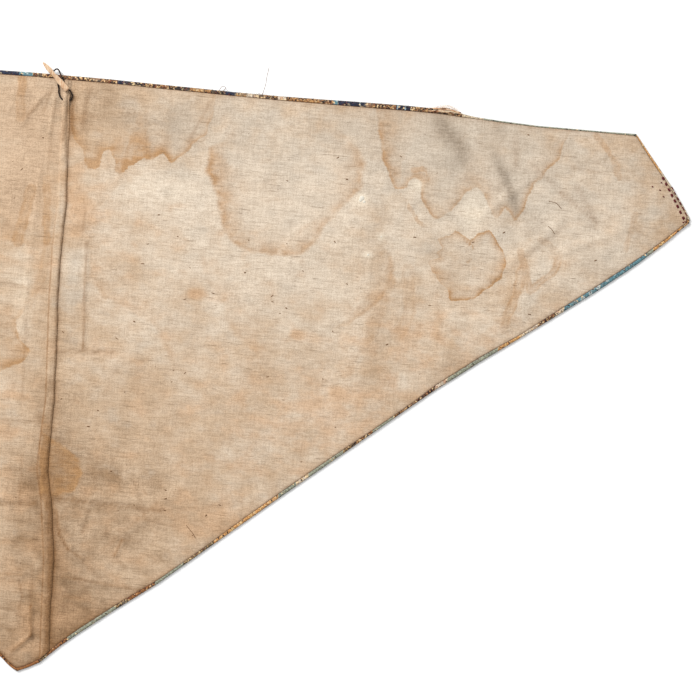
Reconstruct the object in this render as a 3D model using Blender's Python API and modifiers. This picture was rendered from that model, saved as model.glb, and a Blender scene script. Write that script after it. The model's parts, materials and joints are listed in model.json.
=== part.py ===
"""A triangular patchwork temple cloth that lies flat on its face, with its lining up.

The origin is on the surface, under the middle of the cloth. +X runs along the long top edge,
+Y points from the tip to that edge, and +Z is up. Tables and sizes are in millimetres, with
heights counted from the tip, and the objects are built in metres.
"""
from bisect import bisect_right
from collections import namedtuple
from math import atan2, exp, hypot

import bmesh
import bpy
from mathutils import Euler, Vector

MM = 0.001
WELD = 0.00001
SHARP_ANGLE = 0.6

# Sizes of the cloth
TIP_TO_TOP = 717.0
FACE_THICK = 1.2
RIM_THICK = 2.6
RIM_EDGE_SHARE = 0.62
RIM_INNER_SHARE = 0.94
RIM_CROWN_AT = 0.45
RIM_WALL = 0.25
RIM_MOST = 0.3
CUT_CORNER_RIM = 3.4
LAYER_GAP = 0.3
LINING_THICK = 1.0
LINING_CLEAR = 0.6

# Sizes of the lapped seam of the lining
RIDGE_THICK = 1.4
RAW_EDGE_AT = -0.78
HEM_STEPS = (-2.4, -1.35, -1.0, -0.5, 0.0)
HEM_FOOT = -1.35
SEAM_FAN_RIGHT = 110.0
SEAM_FAN_LEFT = -71.0

# Sizes of the loop and its toggle
CORD_DIAMETER = 1.5
CORD_STEPS = 3
HOLE_CLEAR = 0.4
HOLE_REACH = (-8.6, -2.9)
HUMP_HEIGHT = 2.5
HUMP_AT = 688.0
HUMP_SPAN = 6.5
TOGGLE_THICK = 3.0
TOGGLE_TIP = (-31.6, 729.6, 5.5)
TOGGLE_END = (1.5, 698.2, 8.2)

# Half of the outline, from the axis to the cut corner, and the widths of the turned edge
Edge = namedtuple("Edge", "x low high low_rim high_rim")
OUTLINE = (
    Edge(0.0, 0.0, 717.0, 3.2, 4.8),
    Edge(12.7, 5.5, 717.0, 3.2, 4.6),
    Edge(26.7, 13.0, 717.0, 3.4, 4.6),
    Edge(36.7, 23.0, 717.0, 3.2, 4.4),
    Edge(49.0, 34.5, 717.0, 3.6, 4.6),
    Edge(71.0, 52.5, 716.5, 4.4, 4.4),
    Edge(110.0, 83.0, 716.0, 4.2, 4.6),
    Edge(160.0, 120.0, 715.3, 3.4, 4.4),
    Edge(206.0, 159.0, 714.5, 2.8, 4.2),
    Edge(251.0, 197.0, 714.5, 4.0, 4.6),
    Edge(300.0, 238.5, 715.0, 4.2, 5.0),
    Edge(345.0, 275.5, 715.8, 4.2, 5.6),
    Edge(400.0, 321.5, 716.4, 2.6, 5.8),
    Edge(447.0, 360.5, 716.0, 2.4, 5.4),
    Edge(471.0, 380.0, 713.0, 4.4, 4.0),
    Edge(490.0, 394.0, 710.0, 4.8, 1.8),
    Edge(520.0, 417.0, 708.0, 4.8, 1.4),
    Edge(565.0, 449.5, 706.0, 3.0, 1.2),
    Edge(612.0, 484.0, 706.0, 4.4, 1.2),
    Edge(650.0, 512.0, 706.0, 4.8, 1.2),
    Edge(684.0, 539.0, 706.5, 4.6, 1.8),
    Edge(702.0, 554.0, 684.0, 4.2, 2.4),
    Edge(730.0, 579.5, 649.5, 3.0, 2.2),
    Edge(746.5, 596.0, 627.0, 2.6, 1.8),
    Edge(756.5, 605.5, 611.0, 1.6, 1.6),
)

# The crooked seam: where the left panel's folded edge lies, and how far it laps
Seam = namedtuple("Seam", "y x lap")
SEAM = (
    Seam(0.0, 36.7, 10.0),
    Seam(24.0, 36.7, 10.0),
    Seam(64.0, 34.5, 10.0),
    Seam(136.0, 32.5, 11.0),
    Seam(208.0, 24.0, 12.0),
    Seam(243.0, 16.0, 12.0),
    Seam(280.0, 15.5, 11.0),
    Seam(328.0, 17.0, 10.0),
    Seam(448.0, 10.5, 10.0),
    Seam(520.0, 9.0, 10.0),
    Seam(568.0, 10.5, 10.0),
    Seam(658.0, 5.5, 8.0),
    Seam(686.0, 3.5, 7.0),
    Seam(717.0, 3.5, 7.0),
)

# The soft folds of the lining, as lines with a half width and a height
Fold = namedtuple("Fold", "x0 y0 x1 y1 half_width height")
FOLDS = (
    Fold(373.0, 570.0, 384.0, 360.0, 26.0, 2.0),
    Fold(518.0, 650.0, 536.0, 600.0, 18.0, 1.8),
    Fold(424.0, 690.0, 452.0, 655.0, 20.0, 1.6),
    Fold(631.0, 690.0, 670.0, 638.0, 20.0, 1.8),
    Fold(560.0, 468.0, 572.0, 527.0, 18.0, 2.2),
    Fold(616.0, 520.0, 623.0, 556.0, 18.0, 1.6),
    Fold(475.0, 410.0, 480.0, 453.0, 20.0, 2.0),
    Fold(664.0, 577.0, 692.0, 622.0, 18.0, 1.6),
    Fold(75.0, 213.0, 185.0, 196.0, 22.0, 1.4),
    Fold(235.0, 383.0, 242.0, 300.0, 24.0, 1.6),
    Fold(221.0, 683.0, 194.0, 645.0, 24.0, 1.5),
    Fold(113.0, 674.0, 130.0, 627.0, 22.0, 1.4),
    Fold(-240.0, 620.0, -225.0, 420.0, 34.0, 1.5),
    Fold(-520.0, 640.0, -470.0, 520.0, 32.0, 1.4),
)
FOLD_FADE = 30.0

# How far up each column the rows of the lining lie
PLAIN_ROWS = tuple(0.04 * step for step in range(22))
HEAD_ROWS = (0.885, 0.915, 0.935, 0.951, 0.961, 0.970, 0.976, 0.984, 1.0)
LINING_ROWS = PLAIN_ROWS + HEAD_ROWS
FACE_ROWS = (0.25, 0.5, 0.75)
WIDE_COLUMN = 30.0

# The route of the cord: out of the toggle, round its bight, through the seam and back up
Mark = namedtuple("Mark", "x y z")
CORD_ROUTE = (
    Mark(-21.4, 720.0, 3.75),
    Mark(-18.1, 720.6, 3.75),
    Mark(-16.2, 722.6, 3.75),
    Mark(-13.9, 723.3, 3.75),
    Mark(-11.9, 721.9, 3.75),
    Mark(-10.6, 719.4, 3.8),
    Mark(-8.0, 714.8, 4.1),
    Mark(-5.4, 710.6, 4.7),
    Mark(-8.2, 707.4, 4.3),
    Mark(-11.4, 704.9, 3.8),
    Mark(-10.2, 700.6, 3.75),
    Mark(-9.7, 695.4, 3.75),
    Mark(-7.6, 690.4, 3.75),
    Mark(-4.6, 687.5, 3.75),
    Mark(-1.0, 686.4, 3.75),
    Mark(2.6, 686.6, 3.75),
    Mark(5.8, 688.6, 3.8),
    Mark(6.7, 692.8, 4.4),
    Mark(5.4, 696.6, 5.2),
    Mark(2.6, 699.2, 5.55),
    Mark(-1.4, 701.3, 5.55),
)

# The toggle along its own length: half width, and share of the full thickness
Station = namedtuple("Station", "along half_width share")
TOGGLE = (
    Station(0.0, 0.7, 0.50),
    Station(3.0, 1.6, 0.72),
    Station(7.0, 2.5, 0.90),
    Station(12.0, 2.9, 1.00),
    Station(16.0, 2.6, 1.00),
    Station(20.0, 2.2, 0.95),
    Station(24.0, 2.6, 1.00),
    Station(30.0, 3.3, 1.00),
    Station(37.0, 3.4, 1.00),
    Station(43.0, 3.3, 0.95),
    Station(45.6, 3.0, 0.80),
)
ACROSS = (-1.0, -0.72, 0.0, 0.72, 1.0)
ACROSS_SHARE = (0.45, 0.86, 1.0, 0.86, 0.45)

# Colour, roughness
Look = namedtuple("Look", "colour roughness")
LOOKS = {
    "patchwork_face": Look((0.22, 0.16, 0.09), 0.75),
    "lining_left": Look((0.66, 0.52, 0.36), 0.92),
    "lining_right": Look((0.70, 0.57, 0.42), 0.92),
    "hanging_loop": Look((0.03, 0.02, 0.018), 0.85),
    "toggle": Look((0.68, 0.42, 0.26), 0.6),
}


def clamp(value):
    return min(max(value, 0.0), 1.0)


def read_line(line, place):
    """Value at a place on a line of rising (place, value) pairs."""
    starts = [pair[0] for pair in line]
    index = min(max(bisect_right(starts, place), 1), len(line) - 1)
    start, first = line[index - 1]
    stop, last = line[index]
    return first + (last - first) * (place - start) / (stop - start)


def inner_line(edge, rim, inward):
    """Line of the rim's inner side, its width measured square to the edge."""
    line = []
    for index, row in enumerate(OUTLINE):
        before = OUTLINE[max(index - 1, 0)]
        after = OUTLINE[min(index + 1, len(OUTLINE) - 1)]
        slope = (getattr(after, edge) - getattr(before, edge)) / (after.x - before.x)
        width = getattr(row, rim) * hypot(1.0, slope)
        most = RIM_MOST * (row.high - row.low)
        line.append((row.x, getattr(row, edge) + inward * min(width, most)))
    return line


LOW = [(row.x, row.low) for row in OUTLINE]
HIGH = [(row.x, row.high) for row in OUTLINE]
LOW_INNER = inner_line("low", "low_rim", 1.0)
HIGH_INNER = inner_line("high", "high_rim", -1.0)
SEAM_X = [(row.y, row.x) for row in SEAM]
SEAM_LAP = [(row.y, row.lap) for row in SEAM]
HALF_WIDTH = OUTLINE[-1].x
LINING_BASE = FACE_THICK + LAYER_GAP
RIDGE_LIFT = LINING_THICK + LAYER_GAP


def lining_low(x):
    return read_line(LOW_INNER, abs(x)) + LINING_CLEAR


def lining_high(x):
    return read_line(HIGH_INNER, abs(x)) - LINING_CLEAR


def to_world(x, y, z):
    """Millimetres above the tip to the object's own frame in metres."""
    return Vector((x, y - 0.5 * TIP_TO_TOP, z)) * MM


def start_scene():
    for obj in list(bpy.data.objects):
        bpy.data.objects.remove(obj, do_unlink=True)
    parts = bpy.data.collections.new("patchwork_temple_cloth")
    cutters = bpy.data.collections.new("cutters")
    bpy.context.scene.collection.children.link(parts)
    bpy.context.scene.collection.children.link(cutters)
    return parts, cutters


def paint(obj):
    """Give the object a Principled material of its own."""
    look = LOOKS[obj.name]
    material = bpy.data.materials.new(obj.name)
    material.use_nodes = True
    shader = material.node_tree.nodes["Principled BSDF"]
    shader.inputs["Base Color"].default_value = (*look.colour, 1.0)
    shader.inputs["Roughness"].default_value = look.roughness
    shader.inputs["Metallic"].default_value = 0.0
    obj.data.materials.append(material)


def cloth_sheet(name, parts, columns, rows, place, share, thick, offset):
    """A grid with its points moved to place(i, j), made solid by share(i, j) of a thickness."""
    grid = bmesh.new()
    bmesh.ops.create_grid(grid, x_segments=columns - 1, y_segments=rows - 1, size=1.0)
    shares = {}
    for vert in grid.verts:
        i = round(0.5 * (vert.co.x + 1.0) * (columns - 1))
        j = round(0.5 * (vert.co.y + 1.0) * (rows - 1))
        shares[vert.index] = share(i, j)
        vert.co = place(i, j)
    mesh = bpy.data.meshes.new(name)
    grid.to_mesh(mesh)
    grid.free()
    obj = bpy.data.objects.new(name, mesh)
    parts.objects.link(obj)
    group = obj.vertex_groups.new(name="thickness")
    for index, value in shares.items():
        group.add([index], value, "REPLACE")
    solid = obj.modifiers.new("Solidify", "SOLIDIFY")
    solid.thickness = thick * MM
    solid.offset = offset
    solid.vertex_group = group.name
    mesh.shade_smooth()
    mesh.set_sharp_from_angle(angle=SHARP_ANGLE)
    paint(obj)
    return obj


def make_face(parts):
    """The patchwork face, with its edge turned up as a rim round the lining."""
    inner_end = HALF_WIDTH - CUT_CORNER_RIM
    flat = FACE_THICK / RIM_THICK
    half = [(row.x, flat) for row in OUTLINE[:-1]]
    half.append((inner_end - RIM_WALL, flat))
    half.append((inner_end, RIM_INNER_SHARE))
    half.append((HALF_WIDTH - RIM_CROWN_AT * CUT_CORNER_RIM, 1.0))
    half.append((HALF_WIDTH, RIM_EDGE_SHARE))
    columns = [(-x, level) for x, level in reversed(half[1:])] + half
    rim = [RIM_EDGE_SHARE, 1.0, RIM_INNER_SHARE, flat]
    levels = rim + [flat] * len(FACE_ROWS) + rim[::-1]

    def heights(x):
        low, inner_low = read_line(LOW, x), read_line(LOW_INNER, x)
        high, inner_high = read_line(HIGH, x), read_line(HIGH_INNER, x)
        floor, ceiling = inner_low + RIM_WALL, inner_high - RIM_WALL
        lower = [low, low + RIM_CROWN_AT * (inner_low - low), inner_low, floor]
        upper = [ceiling, inner_high, high + RIM_CROWN_AT * (inner_high - high), high]
        return lower + [floor + part * (ceiling - floor) for part in FACE_ROWS] + upper

    def place(i, j):
        x = columns[i][0]
        return to_world(x, heights(abs(x))[j], 0.0)

    def share(i, j):
        pair = (columns[i][1], levels[j])
        return RIM_EDGE_SHARE if RIM_EDGE_SHARE in pair else max(pair)

    return cloth_sheet("patchwork_face", parts, len(columns), len(levels), place, share, RIM_THICK, 1.0)


def soft(distance):
    """Smooth rise from 0 at an edge to 1 at the fading distance."""
    part = clamp(distance / FOLD_FADE)
    return part * part * (3.0 - 2.0 * part)


def relief(x, y):
    """Height of the soft folds, which die out towards the edges and the seam."""
    height = 0.0
    for fold in FOLDS:
        run = Vector((fold.x1 - fold.x0, fold.y1 - fold.y0))
        reach = Vector((x - fold.x0, y - fold.y0))
        nearest = run * clamp(reach.dot(run) / run.length_squared)
        height += fold.height * exp(-((reach - nearest).length / fold.half_width) ** 2)
    seam_side = abs(x - read_line(SEAM_X, y)) - 2.0 * read_line(SEAM_LAP, y)
    height *= soft(y - lining_low(x)) * soft(lining_high(x) - y)
    return height * soft(seam_side) * soft(HALF_WIDTH - abs(x))


def hump(y):
    """Extra lift of the seam's ridge where the cord runs under it."""
    return HUMP_HEIGHT * exp(-((y - HUMP_AT) / HUMP_SPAN) ** 2)


def fan_x(start, y, pull):
    """A column that starts on the lower edge and follows the seam by a share of its shift."""
    return start + pull * (read_line(SEAM_X, y) - read_line(SEAM_X, lining_low(start)))


def column_place(path, row):
    """Point at a share of the way up a column whose x follows path(y)."""
    top = lining_high(path(TIP_TO_TOP))
    bottom = 0.0
    for _ in range(3):
        bottom = lining_low(path(bottom))
    y = bottom + row * (top - bottom)
    return path(y), y


def hem_path(step):
    return lambda y: read_line(SEAM_X, y) + step * read_line(SEAM_LAP, y)


def fan_path(start, pull):
    return lambda y: fan_x(start, y, pull)


def filled(places):
    """The same rising places, with a middle one added in each wide space."""
    result = [places[0]]
    for before, after in zip(places, places[1:]):
        if after - before > WIDE_COLUMN:
            result.append(0.5 * (before + after))
        result.append(after)
    return result


def lining_end():
    return HALF_WIDTH - CUT_CORNER_RIM - RIM_WALL - LINING_CLEAR


def make_lining_left(parts):
    """The left panel, whose folded edge laps over the right one as a ridge."""
    starts = [-lining_end()] + [-row.x for row in reversed(OUTLINE[:-1])]
    span = HEM_STEPS[0] * SEAM[0].lap + SEAM[0].x - SEAM_FAN_LEFT
    paths = [fan_path(x, clamp((x - SEAM_FAN_LEFT) / span)) for x in starts]
    paths += [hem_path(step) for step in HEM_STEPS]
    first_hem = len(starts)

    def on_ridge(i):
        return i >= first_hem and HEM_STEPS[i - first_hem] > HEM_FOOT

    def place(i, j):
        x, y = column_place(paths[i], LINING_ROWS[j])
        lift = RIDGE_LIFT + hump(y) if on_ridge(i) else relief(x, y)
        return to_world(x, y, LINING_BASE + lift)

    def share(i, j):
        return 1.0 if on_ridge(i) else LINING_THICK / RIDGE_THICK

    return cloth_sheet("lining_left", parts, len(paths), len(LINING_ROWS), place, share, RIDGE_THICK, 1.0)


def make_lining_right(parts):
    """The right panel, whose raw edge runs under the left one."""
    beyond = [row.x for row in OUTLINE if SEAM[0].x <= row.x < HALF_WIDTH] + [lining_end()]
    span = SEAM_FAN_RIGHT - SEAM[0].x
    paths = [hem_path(RAW_EDGE_AT)]
    paths += [fan_path(x, clamp((SEAM_FAN_RIGHT - x) / span)) for x in filled(beyond)]

    def place(i, j):
        x, y = column_place(paths[i], LINING_ROWS[j])
        return to_world(x, y, LINING_BASE + relief(x, y))

    def share(i, j):
        return 1.0

    return cloth_sheet("lining_right", parts, len(paths), len(LINING_ROWS), place, share, LINING_THICK, 1.0)


def smooth_route(route, steps):
    """Points along a smooth curve through the route's own points."""
    marks = [to_world(mark.x, mark.y, mark.z) for mark in route]
    marks = [2.0 * marks[0] - marks[1]] + marks + [2.0 * marks[-1] - marks[-2]]
    points = []
    for a, b, c, d in zip(marks, marks[1:], marks[2:], marks[3:]):
        for step in range(steps):
            t = step / steps
            bend = (2.0 * a - 5.0 * b + 4.0 * c - d) * t ** 2 + (3.0 * b - a - 3.0 * c + d) * t ** 3
            points.append(b + 0.5 * ((c - a) * t + bend))
    points.append(marks[-2])
    return points


def make_tube(name, collection, points, radius):
    curve = bpy.data.curves.new(name, "CURVE")
    curve.dimensions = "3D"
    spline = curve.splines.new("POLY")
    spline.points.add(len(points) - 1)
    for mark, point in zip(spline.points, points):
        mark.co = (*point, 1.0)
    curve.bevel_depth = radius * MM
    curve.bevel_resolution = 2
    curve.use_fill_caps = True
    obj = bpy.data.objects.new(name, curve)
    collection.objects.link(obj)
    return obj


def make_loop(parts):
    """The dark cord that is threaded through the head of the seam."""
    loop = make_tube("hanging_loop", parts, smooth_route(CORD_ROUTE, CORD_STEPS), 0.5 * CORD_DIAMETER)
    paint(loop)
    return loop


def cut_cord_hole(panel, cutters):
    """Open the left panel's rising fold where the cord goes in."""
    points = smooth_route(CORD_ROUTE, CORD_STEPS)
    middle = to_world(0.0, HUMP_AT, 0.0).y
    near, far = HOLE_REACH[0] * MM, HOLE_REACH[1] * MM
    inside = [p for p in points if near < p.x < far and abs(p.y - middle) < HUMP_SPAN * MM]
    curve = make_tube("hole_guide", cutters, inside, 0.5 * CORD_DIAMETER + HOLE_CLEAR)
    evaluated = curve.evaluated_get(bpy.context.evaluated_depsgraph_get())
    mesh = bpy.data.meshes.new_from_object(evaluated)
    shape = bmesh.new()
    shape.from_mesh(mesh)
    bmesh.ops.remove_doubles(shape, verts=shape.verts, dist=WELD)
    shape.to_mesh(mesh)
    shape.free()
    cutter = bpy.data.objects.new("cord_hole_cutter", mesh)
    cutter.matrix_world = curve.matrix_world
    cutter.hide_render = True
    cutter.display_type = "WIRE"
    cutters.objects.link(cutter)
    bpy.data.objects.remove(curve, do_unlink=True)
    cut = panel.modifiers.new("Cord hole", "BOOLEAN")
    cut.operation = "DIFFERENCE"
    cut.solver = "EXACT"
    cut.object = cutter


def make_toggle(parts):
    """The flat tapered toggle that the loop is hung by, lying over the cord."""

    def place(i, j):
        station = TOGGLE[i]
        return Vector((station.along, ACROSS[j] * station.half_width, 0.0)) * MM

    def share(i, j):
        return TOGGLE[i].share * ACROSS_SHARE[j]

    toggle = cloth_sheet("toggle", parts, len(TOGGLE), len(ACROSS), place, share, TOGGLE_THICK, 0.0)
    tip = to_world(*TOGGLE_TIP)
    run = to_world(*TOGGLE_END) - tip
    toggle.location = tip
    toggle.rotation_euler = Euler((0.0, -atan2(run.z, hypot(run.x, run.y)), atan2(run.y, run.x)))
    return toggle


def main():
    parts, cutters = start_scene()
    make_face(parts)
    left = make_lining_left(parts)
    make_lining_right(parts)
    make_loop(parts)
    cut_cord_hole(left, cutters)
    make_toggle(parts)


main()
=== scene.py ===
"""Looks of a triangular patchwork temple cloth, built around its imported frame.

It makes the lining with its stains and folded seam, the patchwork face with its turned edge,
the cord and its toggle, the sewing and the frayed threads, and the stage with its camera.
Tables are in millimetres, with y counted from the tip of the cloth. Meshes are in metres.
"""

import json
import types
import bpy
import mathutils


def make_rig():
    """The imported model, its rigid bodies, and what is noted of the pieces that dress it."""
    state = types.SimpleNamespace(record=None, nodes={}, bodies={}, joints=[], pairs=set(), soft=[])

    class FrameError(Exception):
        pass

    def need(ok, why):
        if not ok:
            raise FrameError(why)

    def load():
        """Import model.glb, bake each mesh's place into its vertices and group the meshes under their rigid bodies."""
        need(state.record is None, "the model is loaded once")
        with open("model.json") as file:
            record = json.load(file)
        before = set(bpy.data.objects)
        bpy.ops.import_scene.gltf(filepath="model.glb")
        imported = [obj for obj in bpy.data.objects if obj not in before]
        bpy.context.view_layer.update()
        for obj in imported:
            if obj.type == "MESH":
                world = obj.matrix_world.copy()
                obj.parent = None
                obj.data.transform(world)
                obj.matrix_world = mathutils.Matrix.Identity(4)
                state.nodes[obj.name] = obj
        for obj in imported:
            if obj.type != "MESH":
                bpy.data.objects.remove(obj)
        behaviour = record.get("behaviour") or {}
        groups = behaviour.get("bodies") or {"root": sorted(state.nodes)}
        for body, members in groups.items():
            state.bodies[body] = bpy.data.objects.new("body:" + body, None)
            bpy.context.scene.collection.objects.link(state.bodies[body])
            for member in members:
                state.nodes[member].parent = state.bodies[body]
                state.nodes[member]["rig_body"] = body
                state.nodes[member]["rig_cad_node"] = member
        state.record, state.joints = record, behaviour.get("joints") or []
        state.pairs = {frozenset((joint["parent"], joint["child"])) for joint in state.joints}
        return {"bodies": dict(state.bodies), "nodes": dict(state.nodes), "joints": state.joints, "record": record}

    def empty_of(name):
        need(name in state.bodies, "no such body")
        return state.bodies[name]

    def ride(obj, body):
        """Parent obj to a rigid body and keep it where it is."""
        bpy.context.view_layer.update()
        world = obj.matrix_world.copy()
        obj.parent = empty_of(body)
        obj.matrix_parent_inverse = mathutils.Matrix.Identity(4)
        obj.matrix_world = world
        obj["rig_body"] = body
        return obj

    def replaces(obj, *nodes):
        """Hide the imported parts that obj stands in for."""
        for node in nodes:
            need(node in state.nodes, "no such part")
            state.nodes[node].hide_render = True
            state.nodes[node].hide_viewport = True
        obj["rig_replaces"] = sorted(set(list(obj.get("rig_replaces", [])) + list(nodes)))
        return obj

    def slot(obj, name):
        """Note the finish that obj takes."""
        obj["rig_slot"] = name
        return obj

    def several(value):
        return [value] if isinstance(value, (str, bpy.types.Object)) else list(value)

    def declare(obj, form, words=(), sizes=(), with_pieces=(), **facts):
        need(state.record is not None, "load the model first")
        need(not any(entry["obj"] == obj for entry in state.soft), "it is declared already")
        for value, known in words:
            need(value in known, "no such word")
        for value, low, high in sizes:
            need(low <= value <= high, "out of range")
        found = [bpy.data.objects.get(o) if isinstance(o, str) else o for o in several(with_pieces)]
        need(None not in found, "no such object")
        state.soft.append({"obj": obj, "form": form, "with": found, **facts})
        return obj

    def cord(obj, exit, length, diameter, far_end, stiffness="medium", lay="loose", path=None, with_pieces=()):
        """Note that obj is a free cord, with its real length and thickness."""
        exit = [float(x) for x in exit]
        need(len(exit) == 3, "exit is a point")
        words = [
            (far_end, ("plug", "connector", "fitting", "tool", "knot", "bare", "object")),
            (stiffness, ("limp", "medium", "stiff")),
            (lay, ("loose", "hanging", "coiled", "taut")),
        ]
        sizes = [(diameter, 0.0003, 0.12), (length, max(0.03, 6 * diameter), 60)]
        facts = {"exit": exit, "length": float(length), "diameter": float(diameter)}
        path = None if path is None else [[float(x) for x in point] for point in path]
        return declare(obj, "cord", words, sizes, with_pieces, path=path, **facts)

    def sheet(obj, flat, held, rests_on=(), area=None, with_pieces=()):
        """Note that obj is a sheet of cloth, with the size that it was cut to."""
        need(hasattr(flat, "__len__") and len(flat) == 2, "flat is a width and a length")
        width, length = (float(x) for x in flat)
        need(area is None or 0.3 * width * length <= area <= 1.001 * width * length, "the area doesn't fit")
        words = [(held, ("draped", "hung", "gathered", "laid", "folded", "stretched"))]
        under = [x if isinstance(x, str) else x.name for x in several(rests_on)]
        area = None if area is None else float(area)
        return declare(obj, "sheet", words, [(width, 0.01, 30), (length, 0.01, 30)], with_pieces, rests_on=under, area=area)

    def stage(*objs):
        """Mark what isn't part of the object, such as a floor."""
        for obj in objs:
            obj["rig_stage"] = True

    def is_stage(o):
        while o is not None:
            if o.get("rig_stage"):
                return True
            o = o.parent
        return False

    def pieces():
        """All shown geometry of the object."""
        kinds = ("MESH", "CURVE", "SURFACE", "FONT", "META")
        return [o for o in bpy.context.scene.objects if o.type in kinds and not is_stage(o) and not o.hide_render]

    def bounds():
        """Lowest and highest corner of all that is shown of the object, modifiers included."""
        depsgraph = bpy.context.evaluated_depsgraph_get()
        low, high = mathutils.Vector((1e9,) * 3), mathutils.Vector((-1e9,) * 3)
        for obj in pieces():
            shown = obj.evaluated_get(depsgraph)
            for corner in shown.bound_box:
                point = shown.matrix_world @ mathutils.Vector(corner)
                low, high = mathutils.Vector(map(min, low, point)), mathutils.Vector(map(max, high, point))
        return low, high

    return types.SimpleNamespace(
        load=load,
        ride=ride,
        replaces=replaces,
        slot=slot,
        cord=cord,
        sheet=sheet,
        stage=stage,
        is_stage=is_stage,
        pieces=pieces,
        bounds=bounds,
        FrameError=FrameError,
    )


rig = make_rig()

bl_info = {
    "name": "Patchwork temple cloth",
    "version": (1, 0, 0),
    "blender": (4, 5, 0),
    "location": "View3D > Sidebar > Cloth",
    "description": "Builds a stained, patched altar cloth with its cord and toggle",
    "category": "Add Mesh",
}

import json
from collections import namedtuple
from math import atan2, copysign, cos, hypot, pi, radians, sin

import bmesh
import bpy
import numpy as np
from bpy.props import FloatProperty, FloatVectorProperty, PointerProperty
from mathutils import Euler, Vector

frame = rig.load()
cad_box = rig.bounds()

MM = 0.001
BODY = "root"
EULER_NUMBER = 2.718


def table(row, *rows):
    """A table whose rows have named columns."""
    return tuple(row(*values) for values in rows)


# Sizes of the cloth, as in the solids
TIP_TO_TOP = 717.0
MIDDLE = 0.5 * TIP_TO_TOP
FACE_THICK = 1.2
RIM_THICK = 2.6
CUT_CORNER_RIM = 3.4
RIM_WALL = 0.25
RIM_MOST = 0.3
LINING_CLEAR = 0.6
LINING_BASE = 1.5
LINING_THICK = 1.0
RIDGE_LIFT = 1.3
RIDGE_THICK = 1.4
RAW_EDGE_AT = -0.78
SEAM_FAN_RIGHT = 110.0
SEAM_FAN_LEFT = -71.0
HEM_START = -2.4
HEM_STEPS = (
    -2.4, -2.2, -2.0, -1.85, -1.7, -1.55, -1.42, -1.32, -1.24, -1.17, -1.1, -1.03, -0.96, -0.86,
    -0.74, -0.6, -0.46, -0.32, -0.2, -0.12, -0.06, -0.02, 0.0,
)
HUMP_HEIGHT = 2.5
HUMP_AT = 688.0
HUMP_SPAN = 6.5
RIDGE_FOOT = 1.22
RIDGE_CLIMB = 0.36
HEAD_REACH = 120.0
LEFT_CLOSER = -120.0
FOLD_FADE = 30.0
TIP_SLANT = 6.2
TIP_SLANT_AT = 24.0
TIP_SLANT_REACH = 13.0
LOW_EDGE_SLANT = 0.77
CREASE_SHARE = 1.7
PUCKER_REACH = 16.0
EDGE_THIN = 0.45
EDGE_ROUND = 1.4
LEAST_THICK = 0.3

# How the sheets are made: rows of points, waves of unevenness and the angle of a sharp edge
RIGHT_ROWS = 184
LEFT_ROWS = 196
WAVES = 14
Waves = namedtuple("Waves", "seed shortest longest height")
BROAD_WAVES = Waves(5, 60.0, 170.0, 0.8)
FINE_WAVES = Waves(8, 16.0, 40.0, 0.32)
SMALL_WAVES = Waves(17, 10.0, 22.0, 0.12)
PUCKER_WAVES = Waves(12, 11.0, 22.0, 0.5)
RIDGE_WAVES = Waves(21, 9.0, 60.0, 0.35)
RIM_WAVES = Waves(31, 5.0, 16.0, 0.22)
SHEET_SHARP = 0.9

# The painted shade and dirt of the seam: how far up it is at its widest, and how much of the head is left without it
NEAR_TIP_TO = 280.0
NEAR_TIP_FADE = 130.0
UNMARKED_HEAD = 58.0
UNMARKED_FADE = 30.0

# Half of the outline, from the axis to the cut corner, and the widths of the turned edge
Edge = namedtuple("Edge", "x low high low_rim high_rim")
OUTLINE = table(
    Edge,
    (0, 0, 717, 3.2, 4.8), (12.7, 5.5, 717, 3.2, 4.6), (26.7, 13, 717, 3.4, 4.6),
    (36.7, 23, 717, 3.2, 4.4), (49, 34.5, 717, 3.6, 4.6), (71, 52.5, 716.5, 4.4, 4.4),
    (110, 83, 716, 4.2, 4.6), (160, 120, 715.3, 3.4, 4.4), (206, 159, 714.5, 2.8, 4.2),
    (251, 197, 714.5, 4, 4.6), (300, 238.5, 715, 4.2, 5), (345, 275.5, 715.8, 4.2, 5.6),
    (400, 321.5, 716.4, 2.6, 5.8), (447, 360.5, 716, 2.4, 5.4), (471, 380, 713, 4.4, 4),
    (490, 394, 710, 4.8, 1.8), (520, 417, 708, 4.8, 1.4), (565, 449.5, 706, 3, 1.2),
    (612, 484, 706, 4.4, 1.2), (650, 512, 706, 4.8, 1.2), (684, 539, 706.5, 4.6, 1.8),
    (702, 554, 684, 4.2, 2.4), (730, 579.5, 649.5, 3, 2.2), (746.5, 596, 627, 2.6, 1.8),
    (756.5, 605.5, 611, 1.6, 1.6))

# The crooked seam: where the left panel's folded edge lies, and how far it laps
Seam = namedtuple("Seam", "y x lap")
SEAM = table(
    Seam,
    (0, 36.7, 10), (24, 36.7, 10), (64, 34.5, 10), (136, 32.5, 11), (208, 24, 12), (243, 16, 12),
    (280, 15.5, 11), (328, 17, 10), (448, 10.5, 10), (520, 9, 10), (568, 10.5, 10), (658, 5.5, 8),
    (686, 3.5, 7), (717, 3.5, 7))

# The soft folds of the lining, as in the solids: a line, a half width and a height
Fold = namedtuple("Fold", "x0 y0 x1 y1 half_width height")
FOLDS = table(
    Fold,
    (373, 570, 384, 360, 26, 2), (518, 650, 536, 600, 18, 1.8), (424, 690, 452, 655, 20, 1.6),
    (631, 690, 670, 638, 20, 1.8), (560, 468, 572, 527, 18, 2.2), (616, 520, 623, 556, 18, 1.6),
    (475, 410, 480, 453, 20, 2), (664, 577, 692, 622, 18, 1.6), (75, 213, 185, 196, 22, 1.4),
    (235, 383, 242, 300, 24, 1.6), (221, 683, 194, 645, 24, 1.5), (113, 674, 130, 627, 22, 1.4),
    (-240, 620, -225, 420, 34, 1.5), (-520, 640, -470, 520, 32, 1.4))

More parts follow.
